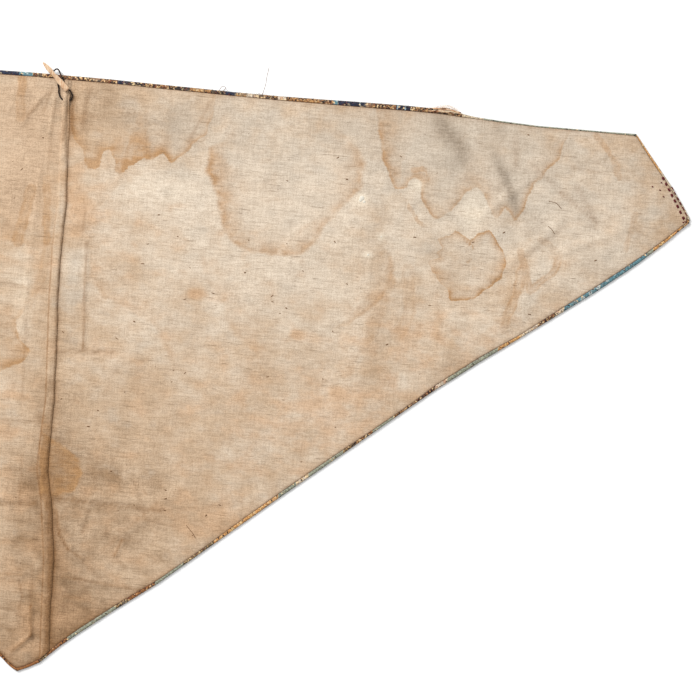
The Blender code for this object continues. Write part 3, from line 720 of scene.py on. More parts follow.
class Finish:
    """A material being made: its nodes, and the shader that they feed."""

    def __init__(self, name, roughness):
        self.material = bpy.data.materials.new(name)
        self.material.use_nodes = True
        self.tree = self.material.node_tree
        self.shader = self.tree.nodes["Principled BSDF"]
        self.shader.inputs["Roughness"].default_value = roughness
        self.shader.inputs["Specular IOR Level"].default_value = 0.2
        coordinates = self.node("ShaderNodeTexCoord", output="Object")
        self.place = self.vector("MULTIPLY", coordinates, (1000.0, 1000.0, 1000.0))

    def node(self, kind, settings=(), values=(), output=0):
        """A new node, its settings made first, then the values or links of its sockets."""
        node = self.tree.nodes.new(kind)
        for key, value in dict(settings).items():
            setattr(node, key, value)
        for key, value in dict(values).items():
            self.feed(node.inputs[key], value)
        return Amount(self, node.outputs[output])

    def feed(self, socket, value):
        if isinstance(value, Amount):
            self.tree.links.new(value.socket, socket)
        elif socket.type == "RGBA":
            socket.default_value = (*value, 1.0)
        else:
            socket.default_value = value

    def sum(self, operation, first, second):
        return self.node("ShaderNodeMath", {"operation": operation}, {0: first, 1: second})

    def least(self, first, second):
        return self.sum("MINIMUM", first, second)

    def vector(self, operation, first, second):
        return self.node("ShaderNodeVectorMath", {"operation": operation}, {0: first, 1: second})

    def split(self, kind, value):
        """The three parts of a vector or of a colour, as numbers."""
        outputs = self.node(kind, (), {0: value}).socket.node.outputs
        return [Amount(self, socket) for socket in outputs]

    def mix(self, amount, first, second, blend="MIX"):
        settings = {"data_type": "RGBA", "blend_type": blend}
        return self.node("ShaderNodeMix", settings, {0: amount, 6: first, 7: second}, output=2)

    def stain(self, cloth, amount, most, colour):
        """The cloth with a colour laid over it, never more than the most that is given."""
        return self.mix(self.least(amount, most), cloth, colour)

    def noise(self, wide, high, detail=2.0, shift=0.0):
        """Cloudy noise whose clouds are some millimetres wide and high."""
        scaled = self.vector("MULTIPLY", self.place, (1.0 / wide, 1.0 / high, 1.0 / high))
        moved = self.vector("ADD", scaled, (shift, shift, shift))
        return self.node("ShaderNodeTexNoise", (), {"Vector": moved, "Scale": 1.0, "Detail": detail})

    def sway(self, amount, *cloud):
        """The same noise as a number that swings about 0."""
        return (self.noise(*cloud) - 0.5) * amount

    def rise(self, value, low, high):
        """Smooth change from 0 to 1 between two levels, or from 1 to 0 where low is above high."""
        settings = {"interpolation_type": "SMOOTHSTEP"}
        return self.node("ShaderNodeMapRange", settings, {0: value, 1: low, 2: high})

    def fold(self, value):
        """Distance to the nearest whole number, from 0 to 0.5."""
        return self.sum("PINGPONG", value, 0.5)

    def painted(self, name):
        """A number painted on the points of the mesh."""
        return self.node("ShaderNodeAttribute", {"attribute_name": name}, output="Fac")

    def bump(self, height, depth, strength=1.0):
        values = {"Strength": strength, "Distance": depth * MM, "Height": height}
        self.feed(self.shader.inputs["Normal"], self.node("ShaderNodeBump", (), values))

    def colour(self, colour):
        self.feed(self.shader.inputs["Base Color"], colour)

    def roughen(self, value):
        self.feed(self.shader.inputs["Roughness"], value)


def read_line(line, place):
    """Values at places on a line of rising (place, value) pairs."""
    starts, values = zip(*line)
    return np.interp(place, starts, values)


def inner_line(edge, rim, inward):
    """Line of the rim's inner side, its width measured square to the edge."""
    line = []
    for before, row, after in zip(OUTLINE[:1] + OUTLINE, OUTLINE, OUTLINE[1:] + OUTLINE[-1:]):
        slope = (getattr(after, edge) - getattr(before, edge)) / (after.x - before.x)
        width = getattr(row, rim) * hypot(1.0, slope)
        most = RIM_MOST * (row.high - row.low)
        line.append((row.x, getattr(row, edge) + inward * min(width, most)))
    return line


LOW = [(row.x, row.low) for row in OUTLINE]
HIGH = [(row.x, row.high) for row in OUTLINE]
LOW_INNER = inner_line("low", "low_rim", 1.0)
HIGH_INNER = inner_line("high", "high_rim", -1.0)
SEAM_X = [(row.y, row.x) for row in SEAM]
SEAM_LAP = [(row.y, row.lap) for row in SEAM]
HALF_WIDTH = OUTLINE[-1].x
LINING_END = HALF_WIDTH - CUT_CORNER_RIM - RIM_WALL - LINING_CLEAR


def tip_slant(x):
    """How much higher the lower edge lies on the left of the tip than on the right."""
    return np.where(x < 0.0, TIP_SLANT * np.exp(-(((x + TIP_SLANT_AT) / TIP_SLANT_REACH) ** 2)), 0.0)


def lining_low(x):
    """The lower edge of the lining, just inside the rim."""
    return read_line(LOW_INNER, np.abs(x)) + LINING_CLEAR + tip_slant(x)


def lining_high(x):
    """The upper edge of the lining, just inside the rim."""
    return read_line(HIGH_INNER, np.abs(x)) - LINING_CLEAR


def to_world(x, y, z):
    """Millimetres above the tip to the frame's metres."""
    return Vector((x, y - MIDDLE, z)) * MM


def soft(distance, reach=FOLD_FADE):
    """Smooth rise from 0 at an edge to 1 at the fading distance."""
    part = np.clip(distance / reach, 0.0, 1.0)
    return part * part * (3.0 - 2.0 * part)


def line_distance(x, y, x0, y0, x1, y1):
    """Distance to a straight run, and how far along it the nearest point lies, from 0 to 1."""
    run_x, run_y = x1 - x0, y1 - y0
    along = ((x - x0) * run_x + (y - y0) * run_y) / max(run_x * run_x + run_y * run_y, 1e-9)
    along = np.clip(along, 0.0, 1.0)
    return np.hypot(x - x0 - along * run_x, y - y0 - along * run_y), along


def folds_height(x, y, folds):
    height = np.zeros_like(x)
    for fold in folds:
        distance, _ = line_distance(x, y, *fold[:4])
        height += fold.height * np.exp(-((distance / fold.half_width) ** 2))
    return height


def edge_distance(x, y):
    """Distance from the lining's own edges, roughly square to them."""
    low = (y - lining_low(x)) * LOW_EDGE_SLANT
    high = lining_high(x) - y
    return np.minimum(np.minimum(low, high), LINING_END - np.abs(x) + 2.0)


def swell(x, y, waves):
    """Gentle unevenness, never below 0, from seeded waves in all directions."""
    draw = np.random.default_rng(waves.seed)
    total = np.zeros_like(x)
    for _ in range(WAVES):
        angle, phase = draw.uniform(0.0, pi), draw.uniform(0.0, 2.0 * pi)
        turns = 2.0 * pi / draw.uniform(waves.shortest, waves.longest)
        total += np.sin(turns * (x * cos(angle) + y * sin(angle)) + phase)
    return waves.height * np.maximum(total / WAVES ** 0.5, 0.0)


def seam_waver(y):
    """Small sideways unevenness of the folded edge."""
    return 0.2 * np.sin(y / 7.3) + 0.35 * np.sin(y / 21.0 + 1.0) + 0.12 * np.sin(y / 3.1 + 2.0)


def lining_relief(x, y):
    """Height of the lining's folds, creases and puckers over its flat lie."""
    past_seam, lap = x - read_line(SEAM_X, y), read_line(SEAM_LAP, y)
    edge = edge_distance(x, y)
    broad = folds_height(x, y, FOLDS) * soft(np.abs(past_seam) - 2.0 * lap, 16.0)
    broad *= soft(y - lining_low(x)) * soft(lining_high(x) - y)
    fine = CREASE_SHARE * folds_height(x, y, CREASES) + swell(x, y, BROAD_WAVES)
    fine += swell(x, y, FINE_WAVES) + swell(x, 1.6 * y, SMALL_WAVES)
    pucker = swell(x + 0.35 * y, 0.25 * y, PUCKER_WAVES) * np.exp(-edge / PUCKER_REACH)
    height = (broad + fine) * soft(edge, 14.0) + pucker * soft(edge, 4.0)
    clear = np.where(past_seam > 0.0, past_seam - 1.5, -past_seam - 1.3 * lap)
    return height * soft(clear, 10.0) * soft(HALF_WIDTH - np.abs(x))


def stain_fields(x, y):
    """For each layer: distance inside the stains' edge, its strength, band, fill and softness."""
    fields = {}
    for layer in range(STAIN_LAYERS):
        plain = {"gap": -GAP_MOST, "strength": 0.0, "band": 10.0, "fill": 0.0, "soft": 2.0}
        shown = {key: np.full_like(x, value) for key, value in plain.items()}
        for stain in (stain for stain in STAINS if stain.layer == layer):
            marks = [Mark(*mark) for mark in stain.marks]
            ends = marks[1:] + ([] if stain.width else marks[:1])
            near = np.full_like(x, 1e6)
            strength, band = np.zeros_like(x), np.full_like(x, stain.band)
            inside = np.zeros(x.shape, bool)
            for a, b in zip(marks, ends):
                distance, along = line_distance(x, y, a.x, a.y, b.x, b.y)
                closer = distance < near
                near = np.where(closer, distance, near)
                strength = np.where(closer, a.strength + (b.strength - a.strength) * along, strength)
                first, last = a.band or stain.band, b.band or stain.band
                band = np.where(closer, first + (last - first) * along, band)
                if a.y != b.y:
                    crossing = a.x + (y - a.y) * (b.x - a.x) / (b.y - a.y)
                    inside ^= ((a.y > y) != (b.y > y)) & (x < crossing)
            gap = 0.5 * stain.width - near if stain.width else np.where(inside, near, -near)
            own = {"strength": strength, "band": band, "fill": stain.fill, "soft": stain.soft, "gap": gap}
            better = gap > shown["gap"]
            for key, value in own.items():
                shown[key] = np.where(better, value, shown[key])
        shown["gap"] = np.clip(shown["gap"], -GAP_MOST, GAP_MOST)
        fields.update({f"{key}_{layer}": value for key, value in shown.items()})
    return fields


def oval_field(x, y, ovals):
    total = np.zeros_like(x)
    for oval in ovals:
        lean = radians(oval.turn)
        across = (x - oval.x) * cos(lean) - (y - oval.y) * sin(lean)
        up = (x - oval.x) * sin(lean) + (y - oval.y) * cos(lean)
        reach = (across / oval.wide) ** 2 + (up / oval.high) ** 2
        total += oval.amount * np.exp(-reach)
    return total


def add_object(name, mesh, materials):
    obj = bpy.data.objects.new(name, mesh)
    bpy.context.scene.collection.objects.link(obj)
    for material in materials:
        mesh.materials.append(material)
    return obj


def new_mesh(name, verts, faces, sharp=None):
    """A smooth mesh, with sharp edges above an angle where one is given."""
    mesh = bpy.data.meshes.new(name)
    mesh.from_pydata(verts, [], faces)
    mesh.shade_smooth()
    if sharp:
        mesh.set_sharp_from_angle(angle=sharp)
    return mesh


def sheet_mesh(name, x, y, under, top, painted):
    """A closed sheet between two heights over a grid of points, with numbers painted on it."""
    levels = [np.stack([x, y - MIDDLE, z], -1).reshape(-1, 3) for z in (top, under)]
    count = x.size
    index = np.arange(count).reshape(x.shape)
    corners = [index[:-1, :-1], index[:-1, 1:], index[1:, 1:], index[1:, :-1]]
    quads = np.stack(corners, -1).reshape(-1, 4)
    ring = np.concatenate([index[0, :-1], index[:-1, -1], index[-1, :0:-1], index[:0:-1, 0]])
    after = np.roll(ring, -1)
    walls = np.stack([ring, ring + count, after + count, after], -1)
    faces = np.concatenate([quads, quads[:, ::-1] + count, walls])
    mesh = new_mesh(name, np.concatenate(levels) * MM, faces.tolist(), SHEET_SHARP)
    for key, value in painted.items():
        layer = mesh.attributes.new(key, "FLOAT", "POINT")
        layer.data.foreach_set("value", np.tile(value.ravel(), 2).astype(np.float32))
    return mesh


def panel_rows(count):
    """Shares of the way up a panel, closer together in the creased part near the tip."""
    fine = int(0.32 * count)
    tip, rest = np.linspace(0.004, 0.18, fine)[:-1], np.linspace(0.18, 0.996, count - fine)
    return np.concatenate([[0.0, 0.0015], tip, rest, [0.9985, 1.0]])


def panel_grid(base, follow, step, rows):
    """Points of a panel whose columns follow the seam, each from edge to edge of the lining."""
    def path(y):
        return base + follow * read_line(SEAM_X, y) + step * read_line(SEAM_LAP, y)

    top = lining_high(path(np.full_like(base, TIP_TO_TOP)))
    bottom = np.zeros_like(base)
    for _ in range(3):
        bottom = lining_low(path(bottom))
    y = bottom + rows[:, None] * (top - bottom)
    return path(y), y


def lining_fields(x, y, crease):
    """The numbers that the lining's finish reads, with painted shade and dirt in the seam's creases, along old fold
    lines and at the edges.
    """
    fields = stain_fields(x, y)
    edge = np.maximum(edge_distance(x, y), 0.0)
    fields["tone"] = 0.5 + oval_field(x, y, TONES)
    fields["warmth"] = oval_field(x, y, WARMTH)
    for name, ovals in (("soil", SOIL), ("pale", PALE)):
        fields[name] = np.maximum(oval_field(x, y, ovals), 0.0)
    tip = np.clip((150.0 - y) / 110.0, 0.0, 1.0)
    # Painted shade and dirt along the lining's edges, where they dip under the turned edge; wider near the tip
    edge_shade_and_dirt = 0.55 * np.exp(-edge / 1.8) + 0.6 * tip * np.exp(-edge / 7.0)
    fields["crease"] = crease + folds_height(x, y, FOLD_LINES) + edge_shade_and_dirt
    return fields


def spread(start, stop, first_step, last_step):
    """Places between two ends, whose spacing changes evenly from one step to the other."""
    count = int(round(2.0 * abs(stop - start) / (first_step + last_step)))
    share = np.linspace(0.0, 1.0, count + 1)
    bend = (last_step - first_step) / (first_step + last_step)
    return start + (stop - start) * (share * (1.0 - bend) + share * share * bend)


def lining_finish(look):
    """Unbleached plain weave with slubs, water stains, smudges and pale places, with painted shade in its seam,
    creases and edges, and painted light and shade on its wrinkles.
    """
    finish = Finish("stained_hemp_lining", 0.9)
    noise, rise, painted, sway = finish.noise, finish.rise, finish.painted, finish.sway
    # The tone holds painted light and shade of the wrinkles as well as the cloth's own tone
    tone = painted("tone")
    level = tone + sway(1.6, 75.0, 60.0, 4.0) + sway(1.3, 22.0, 15.0, 4.0, 7.0)
    cloth = finish.mix(rise(level, -0.32, 1.03), look.light, look.middle)
    cloth = finish.mix(rise(level, 0.8, 2.0), cloth, look.dark)
    hue = painted("warmth") + sway(3.4, 26.0, 20.0, 4.0, 13.0)
    cloth = finish.mix(rise(hue, 0.0, 1.3) * 0.6, cloth, look.warm)
    cloth = finish.mix(rise(hue, 0.0, -1.3) * 0.6, cloth, look.cool)

    wobble = sway(9.0, 15.0, 15.0, 3.0, 3.0) + sway(3.0, 3.0, 2.0, 2.0, 5.0)
    uneven = rise(noise(17.0, 14.0, 3.0, 9.0), 0.25, 0.65) * 0.8 + 0.35
    for layer in range(STAIN_LAYERS):
        gap = painted(f"gap_{layer}") + wobble
        inside = rise(gap / painted(f"soft_{layer}"), -0.6, 0.8)
        fade = EULER_NUMBER ** ((gap / painted(f"band_{layer}")) * -1.0)
        edge = inside * finish.least(fade, 1.0) * painted(f"strength_{layer}") * uneven
        cloth = finish.stain(cloth, inside * painted(f"fill_{layer}"), 0.8, look.soak)
        cloth = finish.stain(cloth, edge, 0.85, look.stain)

    weft, warp = noise(14.0, 1.4, 2.0, 23.0), noise(1.4, 13.0, 2.0, 29.0)
    soil = painted("soil") * (noise(5.0, 3.0, 4.0, 11.0) + rise(weft, 0.25, 0.75) * 0.9)
    cloth = finish.stain(cloth, soil, 0.8, look.soil)
    # Pale places: worn cloth, and painted light on crumples and on the seam's ridge
    pale = painted("pale") * (noise(9.0, 14.0, 3.0, 19.0) + 0.5)
    cloth = finish.stain(cloth, pale, 0.7, look.pale)
    # Painted shade of the seam, the fold lines and the edges, together with their dirt
    crease = painted("crease") * (noise(3.0, 9.0, 3.0, 53.0) * 1.2 + 0.3)
    cloth = finish.stain(cloth, crease, 0.85, look.crease)

    # The weave's light and dark threads, with a mid-sized cloud that is painted shade of small crumples; together they
    # darken and lighten the cloth and make its bump
    threads = (weft - 0.5) * 0.95 + sway(0.4, 50.0, 3.0, 2.0, 43.0)
    threads = threads + (warp - 0.5) * 0.5 + sway(0.25, 2.8, 50.0, 2.0, 47.0)
    threads = threads + sway(1.15, 1.5, 1.3, 2.0, 31.0) + sway(0.4, 8.0, 3.6, 3.0, 61.0)
    threads = threads * (rise(tone, 0.6, 1.6) * 0.45 + 0.95)
    shade = finish.mix(rise(threads, -0.5, 0.5), (0.72, 0.69, 0.66), (1.16, 1.17, 1.18))
    cloth = finish.mix(1.0, cloth, shade, "MULTIPLY")
    patchy = rise(noise(40.0, 30.0, 2.0, 37.0), 0.35, 0.7) * 0.7 + 0.15
    slubs = rise(weft, 0.62, 0.76) * patchy + rise(warp, 0.7, 0.82) * 0.25
    slubs = slubs + rise(noise(30.0, 1.1, 1.0, 59.0), 0.69, 0.77) * 0.55
    cloth = finish.stain(cloth, slubs, 0.6, look.slub)
    husks = rise(noise(4.0, 3.0, 1.0, 41.0), 0.77, 0.82)
    finish.colour(finish.mix(husks * 0.6, cloth, look.slub))
    finish.roughen(0.96 - painted("soil") * 0.08)
    finish.bump(threads, 0.7, 0.4)
    return finish.material


def hidden_seams(finish, x, y):
    """Distance in millimetres from the nearest seam between the patches of the hidden side."""
    gap, band = y * 0.0 + FAR_OFF, y * 0.0
    for start in BANDS:
        away = y - (start - MIDDLE)
        gap = finish.least(gap, finish.sum("ABSOLUTE", away, 0.0))
        band = band + finish.sum("GREATER_THAN", away, 0.0)
    across = finish.fold((x + band * BAND_SHIFT + HALF_WIDTH) / BAND_PATCH) * BAND_PATCH
    reach = finish.painted("reach")
    inner = finish.rise(reach, 0.99, 1.01) * -1.0 + 1.0
    edge = finish.sum("ABSOLUTE", reach - 1.0, 0.0) * BORDER
    return finish.least(finish.least(gap, across) + inner * FAR_OFF, edge)


def repeat_mask(finish, pattern, across, up):
    """Where the figure of a traditional repeat lies, from 0 to 1."""
    fold, rise = finish.fold, finish.rise
    if pattern == "lozenge":
        slants = fold(across + up), fold(across - up)
        heart = 0.5 - finish.sum("MAXIMUM", *slants)
        lines = rise(finish.least(*slants), 0.07, 0.03)
        return finish.sum("MAXIMUM", lines, rise(heart, 0.1, 0.05))
    if pattern == "stripe":
        return rise(fold(across), 0.12, 0.08)
    if pattern == "check":
        return (rise(fold(across), 0.14, 0.1) + rise(fold(up), 0.14, 0.1)) * 0.5
    if pattern == "dots":
        squares = []
        for shift in (0.0, 0.5):
            x, y = fold(across + shift), fold(up + shift)
            squares.append(x * x + y * y)
        return rise(finish.least(*squares), 0.03, 0.018)
    return rise(finish.noise(6.0, 1.0, 2.0, 3.0), 0.55, 0.7) * 0.5


def brocade_finish(silk, ground):
    """Woven silk with a small traditional repeat and gold flecks, worn and uneven in tone, with painted shade on the
    outer side of its turned edge and a dark red brown painted shadow where that edge meets the lining.
    """
    finish = Finish(silk.name + "_silk", 0.62)
    noise, rise = finish.noise, finish.rise
    x, y, z = finish.split("ShaderNodeSeparateXYZ", finish.place)
    wobble = finish.sway(0.35, 9.0, 9.0, 2.0)
    mask = repeat_mask(finish, silk.pattern, x / silk.pitch + wobble, y / silk.pitch + wobble)
    worn = rise(noise(7.0, 5.0, 3.0, 5.0), 0.3, 0.55)
    cloth = finish.mix(mask * worn * 0.7, ground, shade_of(*silk.figure))
    cells = finish.node("ShaderNodeTexVoronoi", (), {0: finish.place, 2: 0.55}, output="Color")
    chance = finish.split("ShaderNodeSeparateColor", cells)
    flecks = (
        (chance[2], silk.dark_flecks, 0.5, (120, 58, 42)),
        (chance[0], silk.pale_flecks, 0.8, (222, 194, 150)),
        (chance[1], silk.dark_flecks, 0.9, (32, 24, 26)),
    )
    for luck, share, strength, colour in flecks:
        fleck = rise(luck, 1.0 - share, 1.02 - share)
        cloth = finish.mix(fleck * strength, cloth, shade_of(*colour))
    light = noise(2.2, 1.2, 2.0, 9.0)
    gleam = finish.mix(rise(light, 0.3, 0.7), (0.5, 0.48, 0.47), (1.45, 1.43, 1.38))
    cloth = finish.mix(1.0, cloth, gleam, "MULTIPLY")
    rub = rise(noise(13.0, 9.0, 3.0, 17.0), 0.55, 0.75)
    cloth = finish.mix(rub * 0.25, cloth, shade_of(186, 170, 148))
    seam = rise(hidden_seams(finish, x, y), 1.6, 0.3) * rise(z, 0.5, 0.2)
    cloth = finish.mix(seam * 0.7, cloth, shade_of(30, 24, 22))
    rim = finish.painted("rim")
    # Painted shade on the outermost part of the turned edge, patchy
    outer_edge_shade = rise(rim, 0.24, 0.02) * rise(light, 0.2, 0.6) * 0.6
    cloth = finish.mix(outer_edge_shade, cloth, shade_of(62, 56, 46))
    # Painted shade, dark red brown, in the crevice where the turned edge meets the lining
    foot_shade = rise(rim, 0.8, 0.98) * rise(rim, 1.3, 1.1)
    finish.colour(finish.mix(foot_shade * 0.75, cloth, shade_of(74, 40, 30)))
    twill = finish.sum("SINE", (x + y) * (2.0 * pi / TWILL_PITCH), 0.0)
    finish.bump(light * 0.7 + twill * 0.12 + mask * 0.3 - seam * 1.5, 0.5, 0.6)
    return finish.material


def near_tip(y):
    """1 near the tip, where the seam's painted shade and dirt are wider and darker, and 0 further up."""
    return soft(NEAR_TIP_TO - y, NEAR_TIP_FADE)


def add_panel(name, look, x, y, under, top, crease):
    """One width of the lining. The painted shade and dirt of its seam fade out at the head."""
    crease = crease * (0.1 + 0.9 * soft(TIP_TO_TOP - UNMARKED_HEAD - y, UNMARKED_FADE))
    mesh = sheet_mesh(name, x, y, under, top, lining_fields(x, y, crease))
    return add_object(name, mesh, [look])


def make_right_lining(look):
    """The right width of the lining, its raw edge under the left one."""
    starts = spread(SEAM[0].x + 0.8, LINING_END, 1.6, 4.6)
    share = np.clip((SEAM_FAN_RIGHT - starts) / (SEAM_FAN_RIGHT - SEAM[0].x), 0.0, 1.0)
    hems = np.array([RAW_EDGE_AT, 0.5 * RAW_EDGE_AT, -0.1, 0.0])
    base = np.concatenate([np.zeros_like(hems), starts - share * SEAM[0].x])
    follow = np.concatenate([np.ones_like(hems), share])
    step = np.concatenate([hems, np.zeros_like(starts)])
    x, y = panel_grid(base, follow, step, panel_rows(RIGHT_ROWS))
    under = LINING_BASE + lining_relief(x, y)
    thinned = EDGE_THIN * (1.0 - soft(edge_distance(x, y) + 0.3, EDGE_ROUND))
    top = under + LINING_THICK * (1.0 - thinned)
    beyond = np.maximum(x - read_line(SEAM_X, y) - seam_waver(y), 0.0)
    tip = near_tip(y)
    # Painted shade beside the folded edge of the left panel, with the seam's dirt; wider and darker near the tip
    crease = (0.9 + 0.3 * tip) * np.exp(-beyond / (1.5 + 3.0 * tip))
    panel = add_panel("right_lining", look, x, y, under, top, crease)
    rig.ride(panel, BODY)
    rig.replaces(panel, "lining_right")
    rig.slot(panel, "lining_right")
    return panel


def make_left_lining(look):
    """The left width of the lining, its edge folded under and lapped over the right one."""
    hem_foot = HEM_START * SEAM[0].lap + SEAM[0].x
    wide, close = spread(-LINING_END, LEFT_CLOSER, 6.0, 5.0), spread(LEFT_CLOSER, hem_foot, 4.0, 2.0)
    starts = np.concatenate([wide[:-1], close[:-1]])
    share = np.clip((starts - SEAM_FAN_LEFT) / (hem_foot - SEAM_FAN_LEFT), 0.0, 1.0)
    hems = np.array(HEM_STEPS)
    base = np.concatenate([starts - share * hem_foot, np.zeros_like(hems)])
    follow = np.concatenate([share, np.ones_like(hems)])
    step = np.concatenate([np.full_like(starts, HEM_START * 2.0), hems])
    fan = np.concatenate([HEM_START * share, hems])
    x, y = panel_grid(base, follow, fan, panel_rows(LEFT_ROWS))
    place = np.broadcast_to(step, x.shape)
    climb = soft(place + RIDGE_FOOT, RIDGE_CLIMB)
    x = x + seam_waver(y) * np.clip(1.0 + place / 0.9, 0.0, 1.0)
    head = soft(y - TIP_TO_TOP + HEAD_REACH, 0.5 * HEAD_REACH)
    curl = 1.0 - soft(-place, 0.16 + 0.5 * head)
    bulge = np.clip(1.0 - ((place + 0.5) / 0.6) ** 2, 0.0, 1.0)
    uneven = swell(y, 0.4 * y, RIDGE_WAVES)
    under = LINING_BASE + (1.0 - climb) * lining_relief(x, y)
    under += climb * (RIDGE_LIFT + HUMP_HEIGHT * np.exp(-(((y - HUMP_AT) / HUMP_SPAN) ** 2)))
    top = under + LINING_THICK + climb * (RIDGE_THICK - LINING_THICK + bulge * (0.6 + uneven))
    top -= curl * (0.8 + 1.2 * head)
    thinned = EDGE_THIN * LINING_THICK * (1.0 - soft(edge_distance(x, y) + 0.3, EDGE_ROUND))
    top = np.maximum(top - thinned * (1.0 - curl), under + LEAST_THICK)
    tip = near_tip(y)
    # Painted shade on the ridge's flank at its folded edge and along its foot, with the seam's dirt
    flank_shade = np.clip(1.0 + place / (0.4 + 0.55 * tip), 0.0, 1.0)
    foot_shade = 0.75 * np.exp(-((place + 1.06) / 0.11) ** 2) * soft(600.0 - y, 140.0)
    crease = foot_shade + (0.6 + 0.55 * tip) * flank_shade ** (1.3 - 0.5 * tip)
    panel = add_panel("left_lining", look, x, y, under, top, crease)
    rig.ride(panel, BODY)
    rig.replaces(panel, "lining_left")
    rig.slot(panel, "lining_left")
    return panel


def smooth_route(route, steps):
    """Points along a smooth curve through the route's own points."""
    marks = [to_world(*mark) for mark in route]
    marks = [2.0 * marks[0] - marks[1]] + marks + [2.0 * marks[-1] - marks[-2]]
    points = []
    for a, b, c, d in zip(marks, marks[1:], marks[2:], marks[3:]):
        for step in range(steps):
            t = step / steps
            bend = (2.0 * a - 5.0 * b + 4.0 * c - d) * t ** 2 + (3.0 * b - a - 3.0 * c + d) * t ** 3
            points.append(b + 0.5 * ((c - a) * t + bend))
    points.append(marks[-2])
    return points


def square_frames(points):
    """Each point of a line, with two directions that are square to the line there."""
    side = Vector((0.0, 0.0, 1.0))
    for index, point in enumerate(points):
        ahead = points[min(index + 1, len(points) - 1)] - points[max(index - 1, 0)]
        ahead.normalize()
        side = side - ahead * side.dot(ahead)
        side = side.normalized() if side.length > 1e-6 else ahead.orthogonal().normalized()
        yield point, side, ahead.cross(side)


def ring_faces(count, sides):
    """Faces between rings of points, one after the other, with a flat face at both ends."""
    faces = []
    for low in range(0, (count - 1) * sides, sides):
        for turn in range(sides):
            after = (turn + 1) % sides
            faces.append((low + turn, low + after, low + sides + after, low + sides + turn))
    faces.append(tuple(reversed(range(sides))))
    faces.append(tuple(range((count - 1) * sides, count * sides)))
    return faces


def tube(points, radii, sides):
    """Points and faces of a tube along a line, with a radius at each point and flat ends."""
    verts = []
    for (point, side, other), radius in zip(square_frames(points), radii):
        for turn in range(sides):
            angle = 2.0 * pi * turn / sides
            verts.append(point + (side * cos(angle) + other * sin(angle)) * radius)
    return verts, ring_faces(len(points), sides)


def join_tubes(name, tubes, material):
    verts, faces = [], []
    for tube_verts, tube_faces in tubes:
        start = len(verts)
        verts += tube_verts
        faces += [tuple(start + corner for corner in face) for face in tube_faces]
    obj = add_object(name, new_mesh(name, verts, faces), [material])
    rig.ride(obj, BODY)
    return obj


def cord_finish(look):
    finish = Finish("dark_twisted_cord", 0.85)
    fuzz = finish.noise(0.5, 0.5, 3.0)
    worn = finish.rise(finish.noise(3.0, 3.0, 2.0, 5.0), 0.5, 0.75)
    base = finish.mix(fuzz, (0.006, 0.004, 0.004), look.cord)
    finish.colour(finish.mix(worn * 0.4, base, shade_of(120, 92, 70)))
    finish.bump(fuzz, 0.15, 0.6)
    return finish.material


def toggle_finish(look):
    """Pale matt wood with fine grain and soft brown clouds."""
    finish = Finish("pale_toggle_wood", 0.55)
    grain = finish.noise(0.8, 7.0, 3.0, 2.0)
    cloud = finish.noise(6.0, 6.0, 3.0, 4.0)
    base = finish.mix(finish.rise(grain, 0.35, 0.7), look.toggle, shade_of(190, 148, 112))
    base = finish.mix(finish.rise(cloud, 0.45, 0.7) * 0.6, base, shade_of(160, 116, 82))
    finish.colour(base)
    finish.roughen(0.5 + cloud * 0.2)
    finish.bump(grain, 0.12, 0.5)
    return finish.material


def make_toggle(look):
    """The flat tapered toggle, round in section, with a waist where the cord holds it."""
    long = TOGGLE[-1].along
    along = np.linspace(0.0, long, TOGGLE_RINGS)
    ends = np.minimum(1.0, np.minimum(along / 1.2 + 0.25, (long - along) / 0.9 + 0.45))

    def smoothed(column):
        values = read_line([(row.along, getattr(row, column)) for row in TOGGLE], along)
        blur = np.array([1.0, 2.0, 3.0, 2.0, 1.0]) / 9.0
        return np.convolve(np.pad(values, 2, "edge"), blur, "valid") * ends

    wide, thick = smoothed("half_width"), 0.5 * TOGGLE_THICK * smoothed("share")
    tip = to_world(*TOGGLE_TIP)
    run = to_world(*TOGGLE_END) - tip
    turn = Euler((0.0, -atan2(run.z, hypot(run.x, run.y)), atan2(run.y, run.x)))
    verts = []
    for index, place in enumerate(along):
        for side in range(TOGGLE_SIDES):
            angle = 2.0 * pi * side / TOGGLE_SIDES
            across = copysign(abs(cos(angle)) ** 0.8, cos(angle))
            up = copysign(abs(sin(angle)) ** 0.9, sin(angle))
            local = Vector((place, across * wide[index], up * thick[index])) * MM
            local.rotate(turn)
            verts.append(tip + local)
    faces = [face[:1] + face[:0:-1] for face in ring_faces(TOGGLE_RINGS, TOGGLE_SIDES)]
    mesh = new_mesh("carved_toggle", verts, faces, TOGGLE_SHARP)
    toggle = add_object("carved_toggle", mesh, [toggle_finish(look)])
    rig.ride(toggle, BODY)
    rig.replaces(toggle, "toggle")
    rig.slot(toggle, "toggle")
    return toggle


def make_cord(look):
    """The loop: two dark strands twisted round each other along the route."""
    route = smooth_route(CORD_ROUTE, CORD_STEPS)
    run = np.concatenate([[0.0], np.cumsum([(b - a).length for a, b in zip(route, route[1:])])])
    strands = []
    for strand in range(2):
        points = []
        for (point, side, other), reached in zip(square_frames(route), run):
            angle = 2.0 * pi * reached / (PLY_TURN * MM) + pi * strand
            points.append(point + (side * cos(angle) + other * sin(angle)) * PLY_OFFSET * MM)
        strands.append(tube(points, [look.ply] * len(points), 8))
    cord = join_tubes("twisted_cord", strands, cord_finish(look))
    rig.replaces(cord, "hanging_loop")
    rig.slot(cord, "hanging_loop")
    return cord, route


def edge_cloth(patches, x):
    """Name of the cloth at a place along an edge."""
    name = patches[0].cloth
    for patch in patches:
        if x >= patch.start:
            name = patch.cloth
    return name


def border_width(low, high):
    return np.minimum(BORDER, 0.3 * (high - low))


